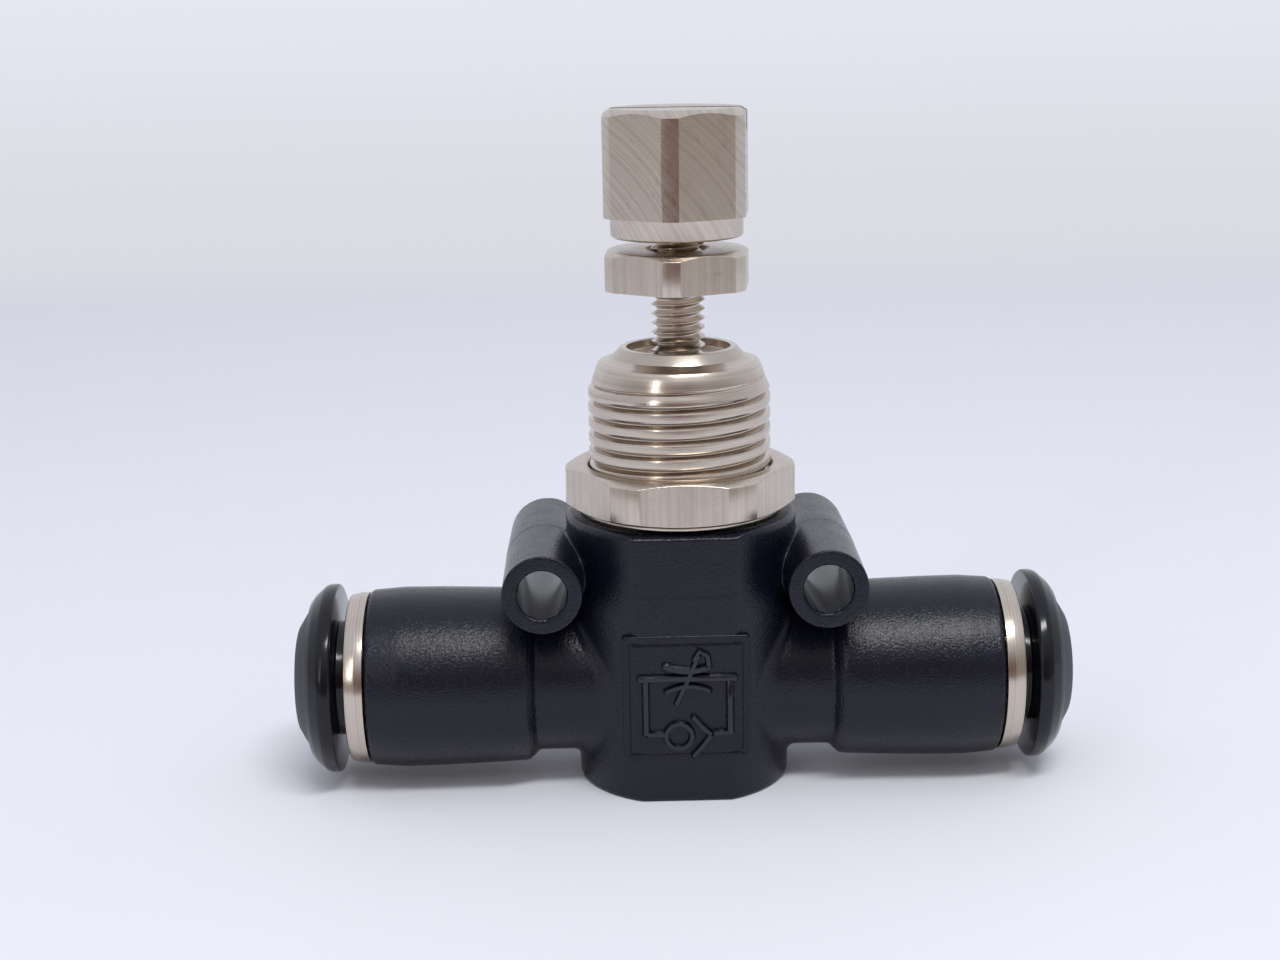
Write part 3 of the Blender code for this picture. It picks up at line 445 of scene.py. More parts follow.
# %% Sizes of the housing
COLUMN_H = 18.2
BASE_R = 7.0
TOP_R = 7.62
DRAFT = math.atan((TOP_R - BASE_R) / COLUMN_H)
TOP_ROUNDING = 0.42
BASE_ROUNDING = 0.22
FACET_DEPTH = 0.64
FACET_STEP = 0.11
FACET_STEP_Z = 14.0
FACET_STEP_SLOPE = 0.08
FACET_ROUNDING = 0.09
LIP_W = 0.4
LIP_ROUNDING = 0.05
AXIS_Z = 6.85
SOCKET_END = 20.85
SOCKET_END_ROUNDING = 0.3
NECK_FILLET = 0.55
BOSS_HALF = 7.6
BOSS_MID_R = 2.61
BOSS_TAPER = 0.06
BOSS_FILLET = 0.3
BOSS_END_ROUNDING = 0.12
BOSS_CHAMFER_H = 0.12
BOSS_CHAMFER_R = 0.1
# One half of the mould is this much larger, which leaves a step at the parting line
MOULD_STEP = 0.02
# Hollows: radius, and where each ends
SOCKET_BORE_R, SOCKET_FLOOR = 4.85, 14.2
TUBE_BORE_R, TUBE_STOP = 3.05, 10.6
CHAMBER_R, CHAMBER_FLOOR = 4.6, 2.2
BUSHING_BORE_R, BUSHING_SHELF = 5.95, 11.7
CHANNEL_R, CHANNEL_END = 1.5, 11.0
CHANNEL_SHIFT = 2.4
HOLLOW_ROUNDING = 0.05
MOUTH_ROUNDING = 0.06
# Stations of the tube run: distance from the middle, and radius
RUN_X = [0.0, 9.55, 9.75, 10.05, 10.35, 10.6, 13.0, 16.0, 18.6, SOCKET_END]
RUN_R = [5.1, 5.1, 5.16, 5.48, 5.74, 5.80, 5.90, 5.99, 6.02, 5.86]


# %% The housing's distance
def facet_plane(y, z, side):
    """Distance from the flat that is cut into the drafted column on one side."""
    return (side * y - BASE_R + FACET_DEPTH) * math.cos(DRAFT) - z * math.sin(DRAFT)


def housing_distance(x, y, z):
    """How far a point lies outside the housing's plastic, in millimetres."""
    from_axis = np.hypot(x, y)
    column = (from_axis - BASE_R) * math.cos(DRAFT) - z * math.sin(DRAFT)
    step = FACET_STEP * np.clip((z - FACET_STEP_Z) / FACET_STEP_SLOPE + 0.5, 0, 1)
    for side in (-1, 1):
        facet = facet_plane(y, z, side) + step
        lip = (facet + z - COLUMN_H + LIP_W) / math.sqrt(2)
        column = outer_edge(outer_edge(column, facet, FACET_ROUNDING), lip, LIP_ROUNDING)
    column = outer_edge(column, z - COLUMN_H, TOP_ROUNDING)
    column = outer_edge(column, -z, BASE_ROUNDING)

    out = np.abs(x)
    up = z - AXIS_Z
    from_run = np.hypot(y, up)
    run = from_run - np.interp(out, RUN_X, RUN_R).astype(from_run.dtype)
    run = outer_edge(run, out - SOCKET_END, SOCKET_END_ROUNDING)
    body = inner_fillet(column, run, NECK_FILLET)

    deep = np.abs(y)
    boss_r = BOSS_MID_R - BOSS_TAPER * deep / BOSS_HALF + MOULD_STEP * (y > 0)
    from_boss = np.hypot(out - BOSS_X, z - BOSS_Z)
    boss = outer_edge(from_boss - boss_r, deep - BOSS_HALF, BOSS_END_ROUNDING)
    body = inner_fillet(body, boss, BOSS_FILLET)

    flare = np.clip((deep - BOSS_HALF + BOSS_CHAMFER_H) / BOSS_CHAMFER_H, 0, 1)
    hole = BOSS_HOLE_R + BOSS_CHAMFER_R * flare
    body = outer_edge(body, hole - from_boss, MOUTH_ROUNDING)
    socket = outer_edge(from_run - SOCKET_BORE_R, SOCKET_FLOOR - out, HOLLOW_ROUNDING)
    tube = outer_edge(from_run - TUBE_BORE_R, TUBE_STOP - out, HOLLOW_ROUNDING)
    chamber = outer_edge(from_axis - CHAMBER_R, CHAMBER_FLOOR - z, HOLLOW_ROUNDING)
    bore = outer_edge(from_axis - BUSHING_BORE_R, BUSHING_SHELF - z, HOLLOW_ROUNDING)
    channel = np.hypot(y, up + CHANNEL_SHIFT * np.sign(x)) - CHANNEL_R
    channel = outer_edge(channel, out - CHANNEL_END, HOLLOW_ROUNDING)
    hollow = np.minimum(np.minimum(socket, tube), np.minimum(chamber, bore))
    return outer_edge(body, -np.minimum(hollow, channel), MOUTH_ROUNDING)


# %% Reading the skin off a grid
def field_normals(distance, points):
    """The direction in which a field grows fastest, at each point."""
    small = 0.01
    slopes = []
    for axis in range(3):
        shift = np.zeros(3)
        shift[axis] = small
        slopes.append(distance(*(points + shift).T) - distance(*(points - shift).T))
    slope = np.stack(slopes, axis=-1)
    return slope / np.maximum(np.linalg.norm(slope, axis=1, keepdims=True), 1e-9)


def net_over(distance, low, high, pitch):
    """Points and quads of the surface where a field is zero, read on a grid."""
    axes = [np.arange(a, b + pitch, pitch) for a, b in zip(low, high)]
    grid = np.meshgrid(*[axis.astype(np.float32) for axis in axes], indexing="ij")
    inside = distance(*grid) < 0
    del grid
    cells = [slice(None, -1), slice(1, None)]
    count = sum(inside[a, b, c].astype(np.int8) for a in cells for b in cells for c in cells)
    crossed = (count > 0) & (count < 8)
    number = np.full(crossed.shape, -1, np.int32)
    number[crossed] = np.arange(crossed.sum())
    place = np.argwhere(crossed)
    points = np.stack([axes[axis][place[:, axis]] for axis in range(3)], axis=-1) + pitch / 2
    for _ in range(3):
        move = distance(*points.T)[:, None] * field_normals(distance, points)
        points -= np.clip(move, -0.8 * pitch, 0.8 * pitch)

    quads = []
    for axis in range(3):
        lower = [slice(1, -1)] * 3
        upper = [slice(1, -1)] * 3
        lower[axis] = slice(0, -1)
        upper[axis] = slice(1, None)
        here = inside[tuple(lower)]
        there = inside[tuple(upper)]
        edge = np.argwhere(here != there)
        leaves = here[here != there]
        edge[:, [a for a in range(3) if a != axis]] += 1
        side = (axis + 1) % 3
        other = (axis + 2) % 3
        ring = []
        for one, two in ((0, 0), (-1, 0), (-1, -1), (0, -1)):
            cell = edge.copy()
            cell[:, side] += one
            cell[:, other] += two
            ring.append(number[tuple(cell.T)])
        ring = np.stack(ring, axis=-1)
        quads.append(np.where(leaves[:, None], ring, ring[:, ::-1]))
    return points, np.concatenate(quads)


# %% The housing's skin
HOUSING_PITCH = 0.15
HOUSING_LOW = (-21.2, -8.0, -0.4)
HOUSING_HIGH = (21.2, 8.0, 18.6)
FACES_KEPT = 0.42


def apply_modifiers(item):
    """Make what the modifiers show the piece's own mesh."""
    graph = bpy.context.evaluated_depsgraph_get()
    mesh = bpy.data.meshes.new_from_object(item.evaluated_get(graph))
    item.modifiers.clear()
    item.data = mesh
    return mesh


net_points, net_quads = net_over(housing_distance, HOUSING_LOW, HOUSING_HIGH, HOUSING_PITCH)
housing = add_object("housing_skin", net_points, net_quads.tolist())
thin = housing.modifiers.new("fewer_faces", "DECIMATE")
thin.ratio = FACES_KEPT
thinned = apply_modifiers(housing)
places = np.array([corner.co for corner in thinned.vertices]) / MM
thinned.shade_smooth()
thinned.normals_split_custom_set_from_vertices(field_normals(housing_distance, places).tolist())
dress(housing, BODY, nylon, "nylon", "housing")

# %% [markdown]
# ## The plaque and its symbol
# A low square plaque on the front carries the standard drawing of a one-way flow control:
# a throttle with an arrow through it, and a check valve below. The plaque is a stack of
# rounded rectangles, from its foot to its face, with a fine line cut round it. The drawing
# is raised strokes with sloping sides, each swept along a short path.

# %% The plaque
PLAQUE_Z = 7.2
PLAQUE_W = 8.2
PLAQUE_H = 8.5
PLAQUE_PROUD = 0.05
plaque_y = -(BASE_R + (TOP_R - BASE_R) * PLAQUE_Z / COLUMN_H - FACET_DEPTH + PLAQUE_PROUD)
PLAQUE_ORIGIN = np.array([0.0, plaque_y, PLAQUE_Z])
PLAQUE_RIGHT = np.array([1.0, 0.0, 0.0])
PLAQUE_UP = np.array([0.0, -math.sin(DRAFT), math.cos(DRAFT)])
PLAQUE_OUT = np.array([0.0, -math.cos(DRAFT), -math.sin(DRAFT)])


def on_plaque(across, up, out):
    """Points from positions on the plaque and heights above its face."""
    across, up, out = np.broadcast_arrays(across, up, out)
    spread = across[..., None] * PLAQUE_RIGHT + up[..., None] * PLAQUE_UP + out[..., None] * PLAQUE_OUT
    return PLAQUE_ORIGIN + spread


def rectangle(width, height, corner, steps=6):
    """A rectangle with rounded corners, as positions round its rim."""
    across = []
    up = []
    for quarter in range(4):
        sign_x = (1, -1, -1, 1)[quarter]
        sign_y = (1, 1, -1, -1)[quarter]
        for step in range(steps + 1):
            angle = math.pi / 2 * (quarter + step / steps)
            across.append(sign_x * (width / 2 - corner) + corner * math.cos(angle))
            up.append(sign_y * (height / 2 - corner) + corner * math.sin(angle))
    return np.array(across), np.array(up)


# From the foot inside the column, over the rounded edge and the fine line, to the face
PLAQUE_STEPS = [(0.0, -2.6), (0.0, -0.09), (0.03, -0.03), (0.09, 0.0), (0.40, 0.0), (0.46, -0.09),
                (0.50, -0.09), (0.56, 0.0), (0.8, 0.0)]
rims = []
for inset, rise in PLAQUE_STEPS:
    across, up = rectangle(PLAQUE_W - 2 * inset, PLAQUE_H - 2 * inset, max(0.25 - inset / 2, 0.08))
    rims.append(on_plaque(across, up, rise))
rim_size = len(rims[0])
plaque_faces = []
for level in range(len(rims) - 1):
    for index in range(rim_size):
        ahead = (index + 1) % rim_size
        low = level * rim_size
        plaque_faces.append([low + index, low + ahead, low + rim_size + ahead, low + rim_size + index])
last = (len(rims) - 1) * rim_size
plaque_faces += [list(range(last, last + rim_size)), list(range(rim_size))[::-1]]
plaque = add_mesh("plaque", np.concatenate(rims), plaque_faces)
even_shading(plaque)
dress(plaque, BODY, nylon_plaque, "nylon")

# %% The flow control symbol
STROKE_H = 0.30
TIP_REACH = 0.32
TIP_WIDTH = 0.45
TIP_HEIGHT = 0.35
# Across a stroke: share of its width, and share of its height
STROKE_SECTION = [(-0.5, -0.3), (-0.5, 0.05), (-0.40, 0.55), (-0.27, 1.0), (0.0, 1.08), (0.27, 1.0),
                  (0.40, 0.55), (0.5, 0.05), (0.5, -0.3)]


def arc_path(start, middle, end, count=12):
    """A curved path through three points."""
    start, middle, end = (np.array(point) for point in (start, middle, end))
    t = np.linspace(0, 1, count)[:, None]
    control = 2 * middle - (start + end) / 2
    return (1 - t) ** 2 * start + 2 * t * (1 - t) * control + t ** 2 * end


def stroke(path, width, closed=False):
    """Points and faces of a raised line along a path on the plaque."""
    path = np.array(path, float)
    if closed:
        along = np.roll(path, -1, axis=0) - np.roll(path, 1, axis=0)
    else:
        along = np.gradient(path, axis=0)
        ends = []
        for sign, tip in ((-1, 0), (1, -1)):
            heading = along[tip] / np.linalg.norm(along[tip])
            ends.append(path[tip] + sign * heading * width * TIP_REACH)
        path = np.concatenate([[ends[0]], path, [ends[1]]])
        along = np.concatenate([along[:1], along, along[-1:]])
    along /= np.linalg.norm(along, axis=1, keepdims=True)
    side = np.stack([-along[:, 1], along[:, 0]], axis=-1)
    rows = []
    for index, (centre, across) in enumerate(zip(path, side)):
        tip = not closed and index in (0, len(path) - 1)
        row = []
        for offset, rise in STROKE_SECTION:
            spot = centre + across * offset * width * (TIP_WIDTH if tip else 1.0)
            row.append(on_plaque(spot[0], spot[1], (min(rise, TIP_HEIGHT) if tip else rise) * STROKE_H))
        rows.append(row)
    count = len(STROKE_SECTION)
    faces = []
    for level in range(len(rows) if closed else len(rows) - 1):
        ahead = (level + 1) % len(rows)
        for index in range(count):
            follow = (index + 1) % count
            faces.append([level * count + index, level * count + follow,
                          ahead * count + follow, ahead * count + index])
    if not closed:
        faces.append(list(range(count))[::-1])
        last_row = (len(rows) - 1) * count
        faces.append(list(range(last_row, last_row + count)))
    return np.concatenate(rows), faces


VALVE_BALL = (-0.50, -2.53)
VALVE_BALL_R = 0.84
ball_turn = np.linspace(0, math.tau, 33)[:-1]
ball_path = VALVE_BALL + VALVE_BALL_R * np.stack([np.cos(ball_turn), np.sin(ball_turn)], axis=-1)
strokes = [
    stroke([(-3.02, 1.43), (0.0, 1.43), (3.14, 1.43)], 0.58),
    stroke([(-2.62, 1.30), (-2.62, -0.6), (-2.62, -2.40)], 0.54),
    stroke([(2.80, 1.30), (2.80, -0.6), (2.80, -2.40)], 0.56),
    stroke([(-2.50, -2.38), (-1.95, -2.38), (-1.45, -2.38)], 0.48),
    stroke([(1.75, -2.34), (2.2, -2.34), (2.66, -2.34)], 0.48),
    stroke(ball_path, 0.46, closed=True),
    stroke([(0.40, -1.22), (1.0, -1.9), (1.56, -2.45)], 0.48),
    stroke([(1.56, -2.52), (1.0, -3.25), (0.42, -3.95)], 0.48),
    stroke(arc_path((-1.38, 2.28), (0.05, 1.93), (1.48, 2.20)), 0.60),
    stroke(arc_path((-1.34, 0.52), (0.10, 0.90), (1.52, 0.56)), 0.44),
    stroke([(-0.66, -0.34), (-0.05, 1.0), (0.52, 2.35), (0.80, 3.0)], 0.44),
    stroke([(0.50, 2.62), (0.86, 3.30), (1.30, 3.02)], 0.46),
    stroke([(1.34, 3.0), (1.42, 2.62), (1.44, 2.30)], 0.44),
]
symbol_points = []
symbol_faces = []
for points, faces in strokes:
    base = sum(len(block) for block in symbol_points)
    symbol_points.append(points)
    symbol_faces += [[base + corner for corner in face] for face in faces]
symbol = add_mesh("flow_symbol", np.concatenate(symbol_points), symbol_faces)
work = bmesh.new()
work.from_mesh(symbol.data)
bmesh.ops.recalc_face_normals(work, faces=work.faces)
work.to_mesh(symbol.data)
work.free()
symbol.data.set_sharp_from_angle(angle=math.radians(50))
dress(symbol, BODY, nylon_symbol, "nylon")

# %% [markdown]
# ## The threaded bushing
# This is the valve's brass heart. Its M12 x 1 thread takes the panel nut; above the thread
# the top is turned down in three bands to a thin lip round a shallow recess. The thread is
# made of rows that climb by one pitch in a turn, so each crest and each root is one clean
# line. Where the bands cut the thread off, the smaller radius wins, as on the lathe.

# %% Threads
def thread_rows(low, high, pitch, form, crest_height, steps, limit=None):
    """Radii, heights and seam of a right-hand thread between two heights."""
    share = np.array([part for part, _ in form])
    size = np.array([radius for _, radius in form])
    per_turn = len(form)
    first = math.floor((low - crest_height) / pitch) - 3
    turns = math.ceil((high - low) / pitch) + 5
    row = np.arange(turns * per_turn)
    climb = crest_height + pitch * (first + row // per_turn + share[row % per_turn])
    around = np.arange(steps) / steps
    height = np.clip(climb[:, None] + pitch * around[None, :], low, high)
    phase = (height - crest_height) / pitch - around[None, :]
    radius = np.interp(phase, share, size, period=1.0)
    if limit is not None:
        radius = np.minimum(radius, limit(height))
    seam = np.minimum(row + per_turn, len(row) - 1)
    return radius, height, seam


def thread_form(crest, root, crest_half, root_half):
    """One turn of thread as (share of the pitch, radius), with eased corners."""
    ease = 0.12 * (crest - root)
    return [(0.0, crest), (crest_half * 0.7, crest - 0.15 * ease), (crest_half, crest - ease),
            (0.5 * (crest_half + 0.5 - root_half), (crest + root) / 2),
            (0.5 - root_half, root + ease), (0.5 - 0.5 * root_half, root + 0.1 * ease),
            (0.5 + 0.5 * root_half, root + 0.1 * ease), (0.5 + root_half, root + ease),
            (1 - 0.5 * (crest_half + 0.5 - root_half), (crest + root) / 2),
            (1 - crest_half, crest - ease), (1 - crest_half * 0.7, crest - 0.15 * ease)]


def joined_skin(name, blocks):
    """One skin from several blocks of rows, top to bottom or bottom to top, closed as a ring."""
    radius = np.concatenate([block[0] for block in blocks])
    height = np.concatenate([block[1] for block in blocks])
    seam = []
    for block in blocks:
        joins = block[2] if len(block) > 2 else np.arange(len(block[0]))
        seam += list(joins + len(seam))
    return skin(name, radius, height, np.array(seam))


def plain_rows(corners, steps):
    """Rows of a plain turned stretch between two threads."""
    profile = np.array(rounded(corners, ring=False))
    spread = np.ones(steps)
    return profile[:, :1] * spread, profile[:, 1:] * spread


# %% The bushing
THREAD_STEPS = 168
PANEL_PITCH = 1.0
PANEL_CREST_Z = 0.66
# Where the lowest band of the lip cuts the thread off: heights and radii
LIP_Z = [18.0, 26.30, 26.75, 27.50]
LIP_R = [6.5, 5.95, 5.72, 5.47]
panel_form = thread_form(5.95, 5.53, 0.30, 0.04)
panel_thread = thread_rows(18.62, 27.50, PANEL_PITCH, panel_form, PANEL_CREST_Z, THREAD_STEPS,
                           lambda height: np.interp(height, LIP_Z, LIP_R))
bushing_top = plain_rows([(5.47, 27.50, 0), (5.27, 28.00, 0), (5.20, 28.08, 0), (4.32, 28.44, 0),
                          (4.26, 28.52, 0), (3.80, 29.02, 0), (3.72, 29.05, 0), (3.38, 29.05, 0.05),
                          (3.38, 28.45, 0.08), (1.80, 28.45, 0.05), (1.80, 21.3, 0.02), (2.35, 21.3, 0.02),
                          (2.35, 8.0, 0.02), (1.2, 8.0, 0.02), (1.2, 5.6, 0.02), (3.1, 5.6, 0.1),
                          (3.1, 11.8, 0.02), (5.85, 11.8, 0.15), (5.85, 18.3, 0.02), (6.62, 18.3, 0.05),
                          (6.62, 18.5, 0.05), (5.5, 18.5, 0.02), (5.3, 18.62, 0)], THREAD_STEPS)
bushing = joined_skin("bushing_skin", [panel_thread, bushing_top])
bushing.data.set_sharp_from_angle(angle=math.radians(22))
even_shading(bushing)
dress(bushing, BODY, nickel_turned, "nickel_plate", "threaded_bushing")

# %% [markdown]
# ## The needle
# The stem carries a fine M3.5 x 0.6 thread for its whole upper half. Below it a smooth land
# runs in the bushing's bore, and the long taper at the end is what throttles the air.

# %% The needle
STEM_STEPS = 96
STEM_PITCH = 0.6
STEM_CREST_Z = 0.29
stem_form = thread_form(1.745, 1.36, 0.07, 0.11)
stem_thread = thread_rows(24.0, 36.9, STEM_PITCH, stem_form, STEM_CREST_Z, STEM_STEPS)
needle_rest = plain_rows([(1.38, 36.9, 0), (1.38, 41.4, 0.05), (0.001, 41.4, 0), (0.001, 7.2, 0),
                          (0.25, 7.2, 0.05), (0.45, 7.4, 0.05), (1.55, 13.4, 0.1), (1.55, 15.4, 0.05),
                          (2.25, 15.4, 0.05), (2.25, 17.32, 0.02), (1.47, 17.32, 0.02), (1.47, 18.18, 0.02),
                          (2.25, 18.18, 0.02), (2.25, 20.0, 0.1), (1.43, 20.0, 0.05), (1.43, 24.0, 0)],
                         STEM_STEPS)
needle = joined_skin("needle_skin", [stem_thread, needle_rest])
needle.data.set_sharp_from_angle(angle=math.radians(50))
dress(needle, "needle_and_knob", nickel_turned, "nickel_plate", "needle")

# %% [markdown]
# ## Hexagons with turned corners
# The knob and both nuts start as hexagon bar, and the lathe then takes off their corners and
# chamfers the ends. A Boolean does the same: the overlap of a hexagonal prism and a turned
# form. It leaves the scalloped arcs on the flats that any real nut has. A fine bevel then
# breaks the edges.

# %% Hexagon pieces
def hexagon_bar(across_flats, low, high, turn_deg):
    """A hexagonal prism; one flat faces the turn angle, counted from +X."""
    mesh = bpy.data.meshes.new("hexagon_bar")
    work = bmesh.new()
    corner = across_flats / math.sqrt(3)
    place = Matrix.Translation((0, 0, (low + high) / 2 * MM))
    place = place @ Matrix.Rotation(math.radians(turn_deg), 4, "Z")
    bmesh.ops.create_cone(work, cap_ends=True, segments=6, radius1=corner * MM, radius2=corner * MM,
                          depth=(high - low) * MM, matrix=place)
    work.to_mesh(mesh)
    work.free()
    return put_in_scene("hexagon_bar", mesh)


def slot_tool(name, centre_z, turn_deg, length, width, depth):
    """A box that saws a slot across a round piece."""
    mesh = bpy.data.meshes.new(name)
    work = bmesh.new()
    place = Matrix.Translation((0, 0, centre_z * MM)) @ Matrix.Rotation(math.radians(turn_deg), 4, "Z")
    place = place @ Matrix.Diagonal((length * MM, width * MM, depth * MM, 1))
    bmesh.ops.create_cube(work, size=1.0, matrix=place)
    work.to_mesh(mesh)
    work.free()
    return put_in_scene(name, mesh)


def cut(item, tool, operation):
    """Apply an exact Boolean and throw its tool away."""
    step = item.modifiers.new(operation.lower(), "BOOLEAN")
    step.operation = operation
    step.solver = "EXACT"
    step.object = tool
    apply_modifiers(item)
    bpy.data.objects.remove(tool)


def break_edges(item, width_mm):
    """A fine bevel on every real edge, shaded evenly."""
    item.data.shade_smooth()
    bevel = item.modifiers.new("broken_edges", "BEVEL")
    bevel.width = width_mm * MM
    bevel.segments = 2
    bevel.limit_method = "ANGLE"
    bevel.angle_limit = math.radians(16)
    bevel.miter_outer = "MITER_ARC"
    apply_modifiers(item).set_sharp_from_angle(angle=math.radians(35))
    even_shading(item)


# %% The knob
KNOB_AF = 9.0
KNOB_TURN = -6.3
knob = turned("knob_skin", [(0.0, 44.28, 0), (4.17, 44.28, 0), (4.9, 43.85, 0), (4.9, 37.2, 0),
                            (0.0, 37.2, 0)], steps=240, ring=False)
cut(knob, hexagon_bar(KNOB_AF, 37.52, 45.0, KNOB_TURN), "INTERSECT")
cut(knob, turned("collar", [(0.0, 38.5, 0), (4.27, 38.5, 0), (4.27, 36.29, 0), (4.15, 36.17, 0),
                            (0.0, 36.17, 0)], steps=240, ring=False), "UNION")
cut(knob, turned("bore", [(0.0, 41.57, 0), (1.8, 41.57, 0), (1.8, 36.5, 0), (2.1, 36.0, 0),
                          (0.0, 36.0, 0)], steps=96, ring=False), "DIFFERENCE")
cut(knob, slot_tool("screwdriver_slot", 44.28, KNOB_TURN, 20.0, 0.82, 2.9), "DIFFERENCE")
break_edges(knob, 0.05)
dress(knob, "needle_and_knob", nickel_milled, "nickel_plate", "knob")

# %% The nuts
LOCK_NUT_AF = 9.0
PANEL_NUT_AF = 14.0
PANEL_NUT_TURN = -30.0
lock_nut = turned("lock_nut_skin", [(2.15, 35.37, 0), (4.38, 35.37, 0), (4.9, 35.07, 0), (4.9, 32.87, 0),
                                    (2.1, 32.87, 0), (1.8, 33.17, 0), (1.8, 35.02, 0)], steps=240)
cut(lock_nut, hexagon_bar(LOCK_NUT_AF, 32.0, 36.0, KNOB_TURN), "INTERSECT")
break_edges(lock_nut, 0.05)
dress(lock_nut, "lock_nut", nickel_drawn, "nickel_plate", "lock_nut")

panel_nut = turned("panel_nut_skin", [(6.17, 21.4, 0), (6.88, 21.4, 0), (7.55, 21.12, 0), (7.55, 18.82, 0),
                                      (6.88, 18.6, 0), (6.17, 18.6, 0), (6.02, 18.75, 0), (6.02, 21.25, 0)],
                   steps=240)
cut(panel_nut, hexagon_bar(PANEL_NUT_AF, 18.0, 22.0, PANEL_NUT_TURN), "INTERSECT")
break_edges(panel_nut, 0.06)
dress(panel_nut, "panel_nut", nickel_drawn, "nickel_plate", "panel_nut")

# %% [markdown]
# ## The push-in ends
# Each end has a nickel ring that guides the release button. The button's collar is pushed
# towards the valve to free the tube. Its face swells a little, its rim is thin, and its
# mouth is flared for the tube. Both pieces are plain turned forms, laid along the tube's
# axis; four slits make the hidden end of the button springy.

# %% Guide rings and release buttons
def lay_along_tube(item, side):
    """Turn a piece from Z to the tube's axis, on the left or right side."""
    lift = Matrix.Translation((0, 0, AXIS_Z * MM))
    item.matrix_world = lift @ Matrix.Rotation(side * math.pi / 2, 4, "Y")
    return item


RING_CORNERS = [(3.95, 22.2, 0.08), (5.56, 22.2, 0.10), (5.70, 21.5, 0.9), (5.72, 20.95, 0.03),
                (4.75, 20.95, 0.03), (4.75, 18.6, 0.05), (4.3, 18.6, 0.05), (4.3, 20.6, 0.05),
                (3.95, 20.6, 0.05)]
BUTTON_CORNERS = [(3.50, 25.66, 0.10), (4.10, 25.30, 0.30), (4.80, 24.86, 0.5), (5.17, 24.62, 0.02),
                  (5.30, 24.75, 0.03), (5.70, 24.42, 0.4), (6.24, 23.80, 0.4), (6.31, 23.5, 0.3),
                  (6.31, 22.95, 0.22), (3.82, 22.95, 0.12), (3.82, 20.5, 0.02), (4.15, 20.5, 0.02),
                  (3.82, 19.9, 0.05), (3.35, 19.0, 0.05), (3.05, 19.0, 0.05), (3.05, 25.21, 0.15)]
BUTTON_SHARP_DEG = 28
for side, label in ((-1, "left"), (1, "right")):
    guide = turned(f"guide_ring_skin_{label}", RING_CORNERS, steps=160)
    even_shading(guide)
    dress(lay_along_tube(guide, side), BODY, nickel_turned, "nickel_plate", f"guide_ring_{label}")
    button = turned(f"release_button_skin_{label}", BUTTON_CORNERS, steps=160)
    for slit_turn in (45, 135):
        cut(button, slot_tool("slit", 19.0, slit_turn, 16.0, 0.6, 4.8), "DIFFERENCE")
    button.data.shade_smooth()
    button.data.set_sharp_from_angle(angle=math.radians(BUTTON_SHARP_DEG))
    even_shading(button)
    dress(lay_along_tube(button, side), f"{label}_button", acetal, "acetal", f"release_button_{label}")

# %% Pieces kept as they come
INNER_PIECES = [("bushing_o_ring", rubber, "seal_rubber"), ("check_seal", rubber, "seal_rubber"),
                ("needle_o_ring", rubber, "seal_rubber")]
for label in ("left", "right"):
    INNER_PIECES += [(f"tube_seal_{label}", rubber, "seal_rubber"),
                     (f"seal_holder_{label}", holder_nylon, "holder_plastic"),
                     (f"lock_claws_{label}", spring_steel, "spring_steel")]
for node, material, slot in INNER_PIECES:
    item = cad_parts[node]
    wear(item, material)
print("inner pieces dressed:", len(INNER_PIECES))

# %% [markdown]
# ## Table, light and camera
# The valve stands on a pale, slightly blue sheet that bends up into a backdrop. On the table
# the sheet is lit and takes the valve's shadow. Far behind, where the lamps hardly reach, it
# shows its pale tone by itself, with painted shade that darkens it low in the bend, but only
# to the camera and in mirrors, so it lights nothing.
# One broad soft lamp hangs above and in front: it draws the bright patches on the bushing's
# bands and the speckled light along the sockets. A narrow strip to the left draws a thin line
# of light down each round piece. The world is brighter above and behind, and dimmer and
# warmer on the photographer's side, which is what the nickel mirrors. Where the camera looks
# past the sheet, as from behind, it sees the same pale wall.

# %% Table
SHEET_FRONT = -125.0
SHEET_HALF_W = 420.0
SHEET_TOP = 900.0
BEND_Y = 262.0
BEND_R = 46.0
BEND_STEPS = 12
sweep = [(SHEET_FRONT, 0.0), (-60.0, 0.0), (0.0, 0.0), (150.0, 0.0), (BEND_Y, 0.0)]
for step in range(1, BEND_STEPS + 1):
    bend = math.pi / 2 * step / BEND_STEPS
    sweep.append((BEND_Y + BEND_R * math.sin(bend), BEND_R - BEND_R * math.cos(bend)))
sweep.append((BEND_Y + BEND_R, SHEET_TOP))
table_points = [(side * SHEET_HALF_W, y, z) for y, z in sweep for side in (-1, 1)]
table_faces = [[2 * row, 2 * row + 1, 2 * row + 3, 2 * row + 2] for row in range(len(sweep) - 1)]
table = add_mesh("table_and_backdrop", table_points, table_faces)
# Painted shade: the backdrop's own glow takes this darker tone on the far table and low in the bend, and
# pales to the higher tone up the wall
BEND_PAINTED_SHADE = "#DADBE3"
PALE_HIGH = "#E5E8F1"
paper, tree, shader, place = new_material("coated_paper")
shader.inputs["Base Color"].default_value = linear("#E8EAF1")
shader.inputs["Roughness"].default_value = 0.6
shader.inputs["IOR"].default_value = 1.4
parts = coordinates(tree, place)
# painted shade where the sheet bends up: the glow darkens towards its foot
tone = mix_colours(tree, ramp(tree, parts["Z"], 0.2 * MM, 60 * MM), BEND_PAINTED_SHADE, PALE_HIGH)
pale = add_node(tree, "ShaderNodeEmission", {"Strength": 1.0}, {"Color": tone})
ray = add_node(tree, "ShaderNodeLightPath").outputs
seen = reckon(tree, "ADD", ray["Is Camera Ray"], ray["Is Glossy Ray"])
seen = reckon(tree, "ADD", seen, ray["Is Transmission Ray"], clamp=True)
share = reckon(tree, "MULTIPLY", ramp(tree, parts["Y"], 205 * MM, 285 * MM), seen)
both = add_node(tree, "ShaderNodeMixShader",
                links={0: share, 1: shader.outputs["BSDF"], 2: pale.outputs["Emission"]})
tree.links.new(both.outputs["Shader"], tree.nodes["Material Output"].inputs["Surface"])
table.data.materials.append(paper)

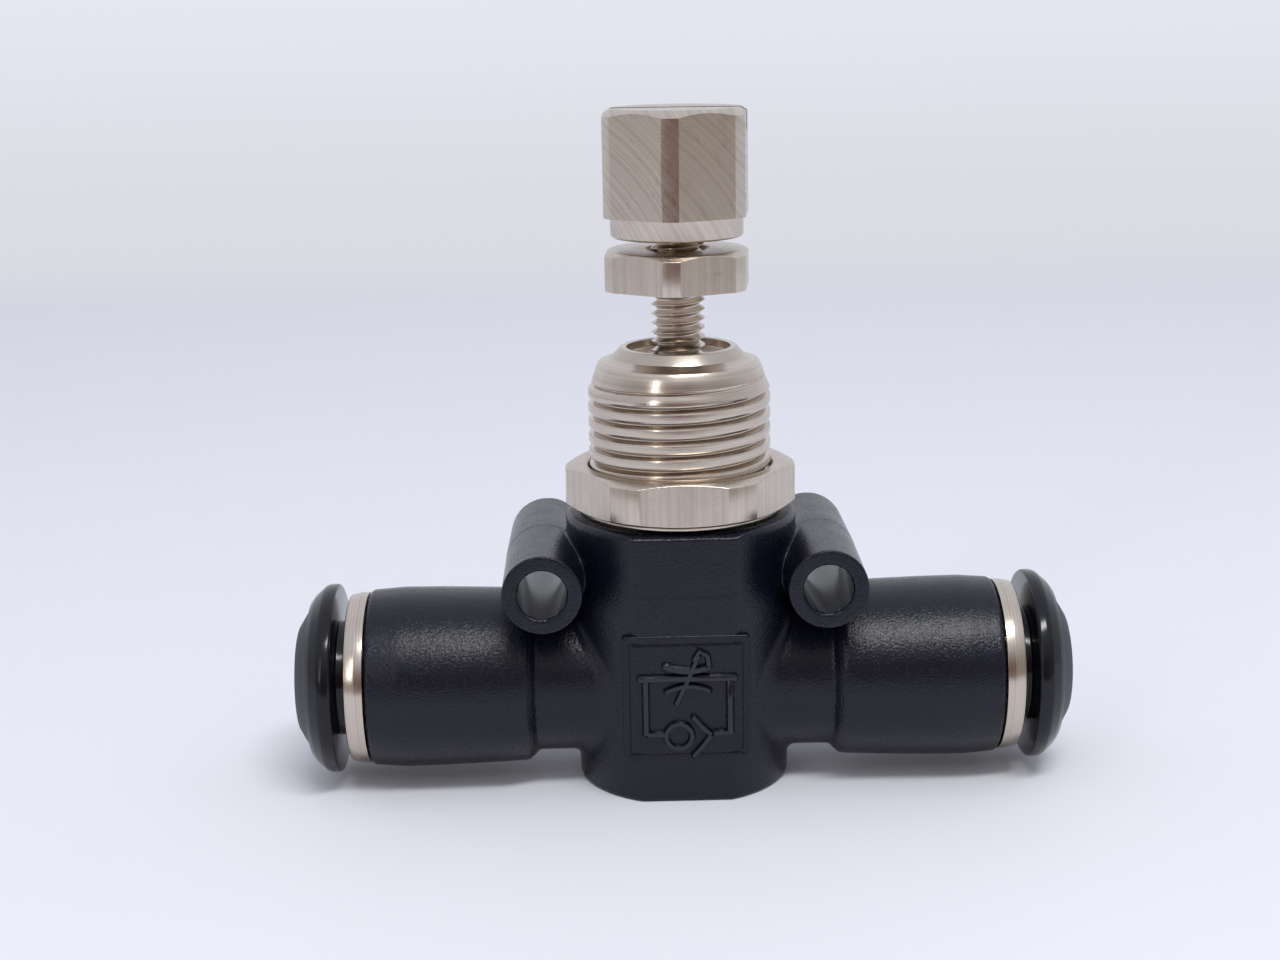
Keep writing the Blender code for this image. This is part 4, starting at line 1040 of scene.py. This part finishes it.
# %% World and lamps
ROOM_FRONT = "#7E605C"
ROOM_SIDES = "#A39A93"
ROOM_BACK = "#E0E3EC"
ROOM_TOP = "#E6E9F2"
ROOM_STRENGTH = 0.92
LAMP_AIM = (0, 0, 15)
world = bpy.data.worlds.new("soft_room")
bpy.context.scene.world = world
world.use_nodes = True
tree = world.node_tree
sky = tree.nodes["Background"]
parts = coordinates(tree, add_node(tree, "ShaderNodeTexCoord").outputs["Generated"])
to_back = ramp(tree, parts["Y"], -0.85, 0.45)
to_side = ramp(tree, reckon(tree, "ABSOLUTE", parts["X"]), 0.14, 0.52)
to_top = ramp(tree, parts["Z"], 0.22, 0.80)
room = mix_colours(tree, to_side, ROOM_FRONT, ROOM_SIDES)
room = mix_colours(tree, to_back, room, ROOM_BACK)
room = mix_colours(tree, to_top, room, ROOM_TOP)
ray = add_node(tree, "ShaderNodeLightPath").outputs
seen = mix_colours(tree, ray["Is Camera Ray"], room, PALE_HIGH)
tree.links.new(seen, sky.inputs["Color"])
sky.inputs["Strength"].default_value = ROOM_STRENGTH


def soft_lamp(name, place_mm, width_mm, height_mm, watts):
    """A white rectangular lamp, aimed at the valve."""
    data = bpy.data.lights.new(name, "AREA")
    data.shape = "RECTANGLE"
    data.size = width_mm * MM
    data.size_y = height_mm * MM
    data.energy = watts
    lamp = put_in_scene(name, data)
    lamp.location = Vector(place_mm) * MM
    lamp.rotation_euler = (Vector(LAMP_AIM) * MM - lamp.location).to_track_quat("-Z", "Y").to_euler()


soft_lamp("overhead_box", (80, -225, 440), 260, 70, 1.2)
soft_lamp("left_strip", (-250, -360, 210), 36, 220, 0.16)

# %% Camera
camera_data = bpy.data.cameras.new("camera")
camera_data.sensor_width = 36.0
camera_data.lens = 55.73  # millimetres, found with the camera's place from the outlines in the photo
camera_data.clip_start = 0.01
camera_data.clip_end = 20.0
camera = put_in_scene("camera", camera_data)
CAMERA_PLACE = Vector((-4.21, -127.06, 50.95))
CAMERA_AIM = Vector((-2.65, 0.0, 20.10))
CAMERA_ROLL_DEG = -1.05
turn = (CAMERA_AIM - CAMERA_PLACE).to_track_quat("-Z", "Y").to_matrix().to_4x4()
turn = turn @ Matrix.Rotation(math.radians(CAMERA_ROLL_DEG), 4, "Z")
camera.matrix_world = Matrix.Translation(CAMERA_PLACE * MM) @ turn
bpy.context.scene.camera = camera
bpy.context.scene.view_settings.view_transform = "Standard"
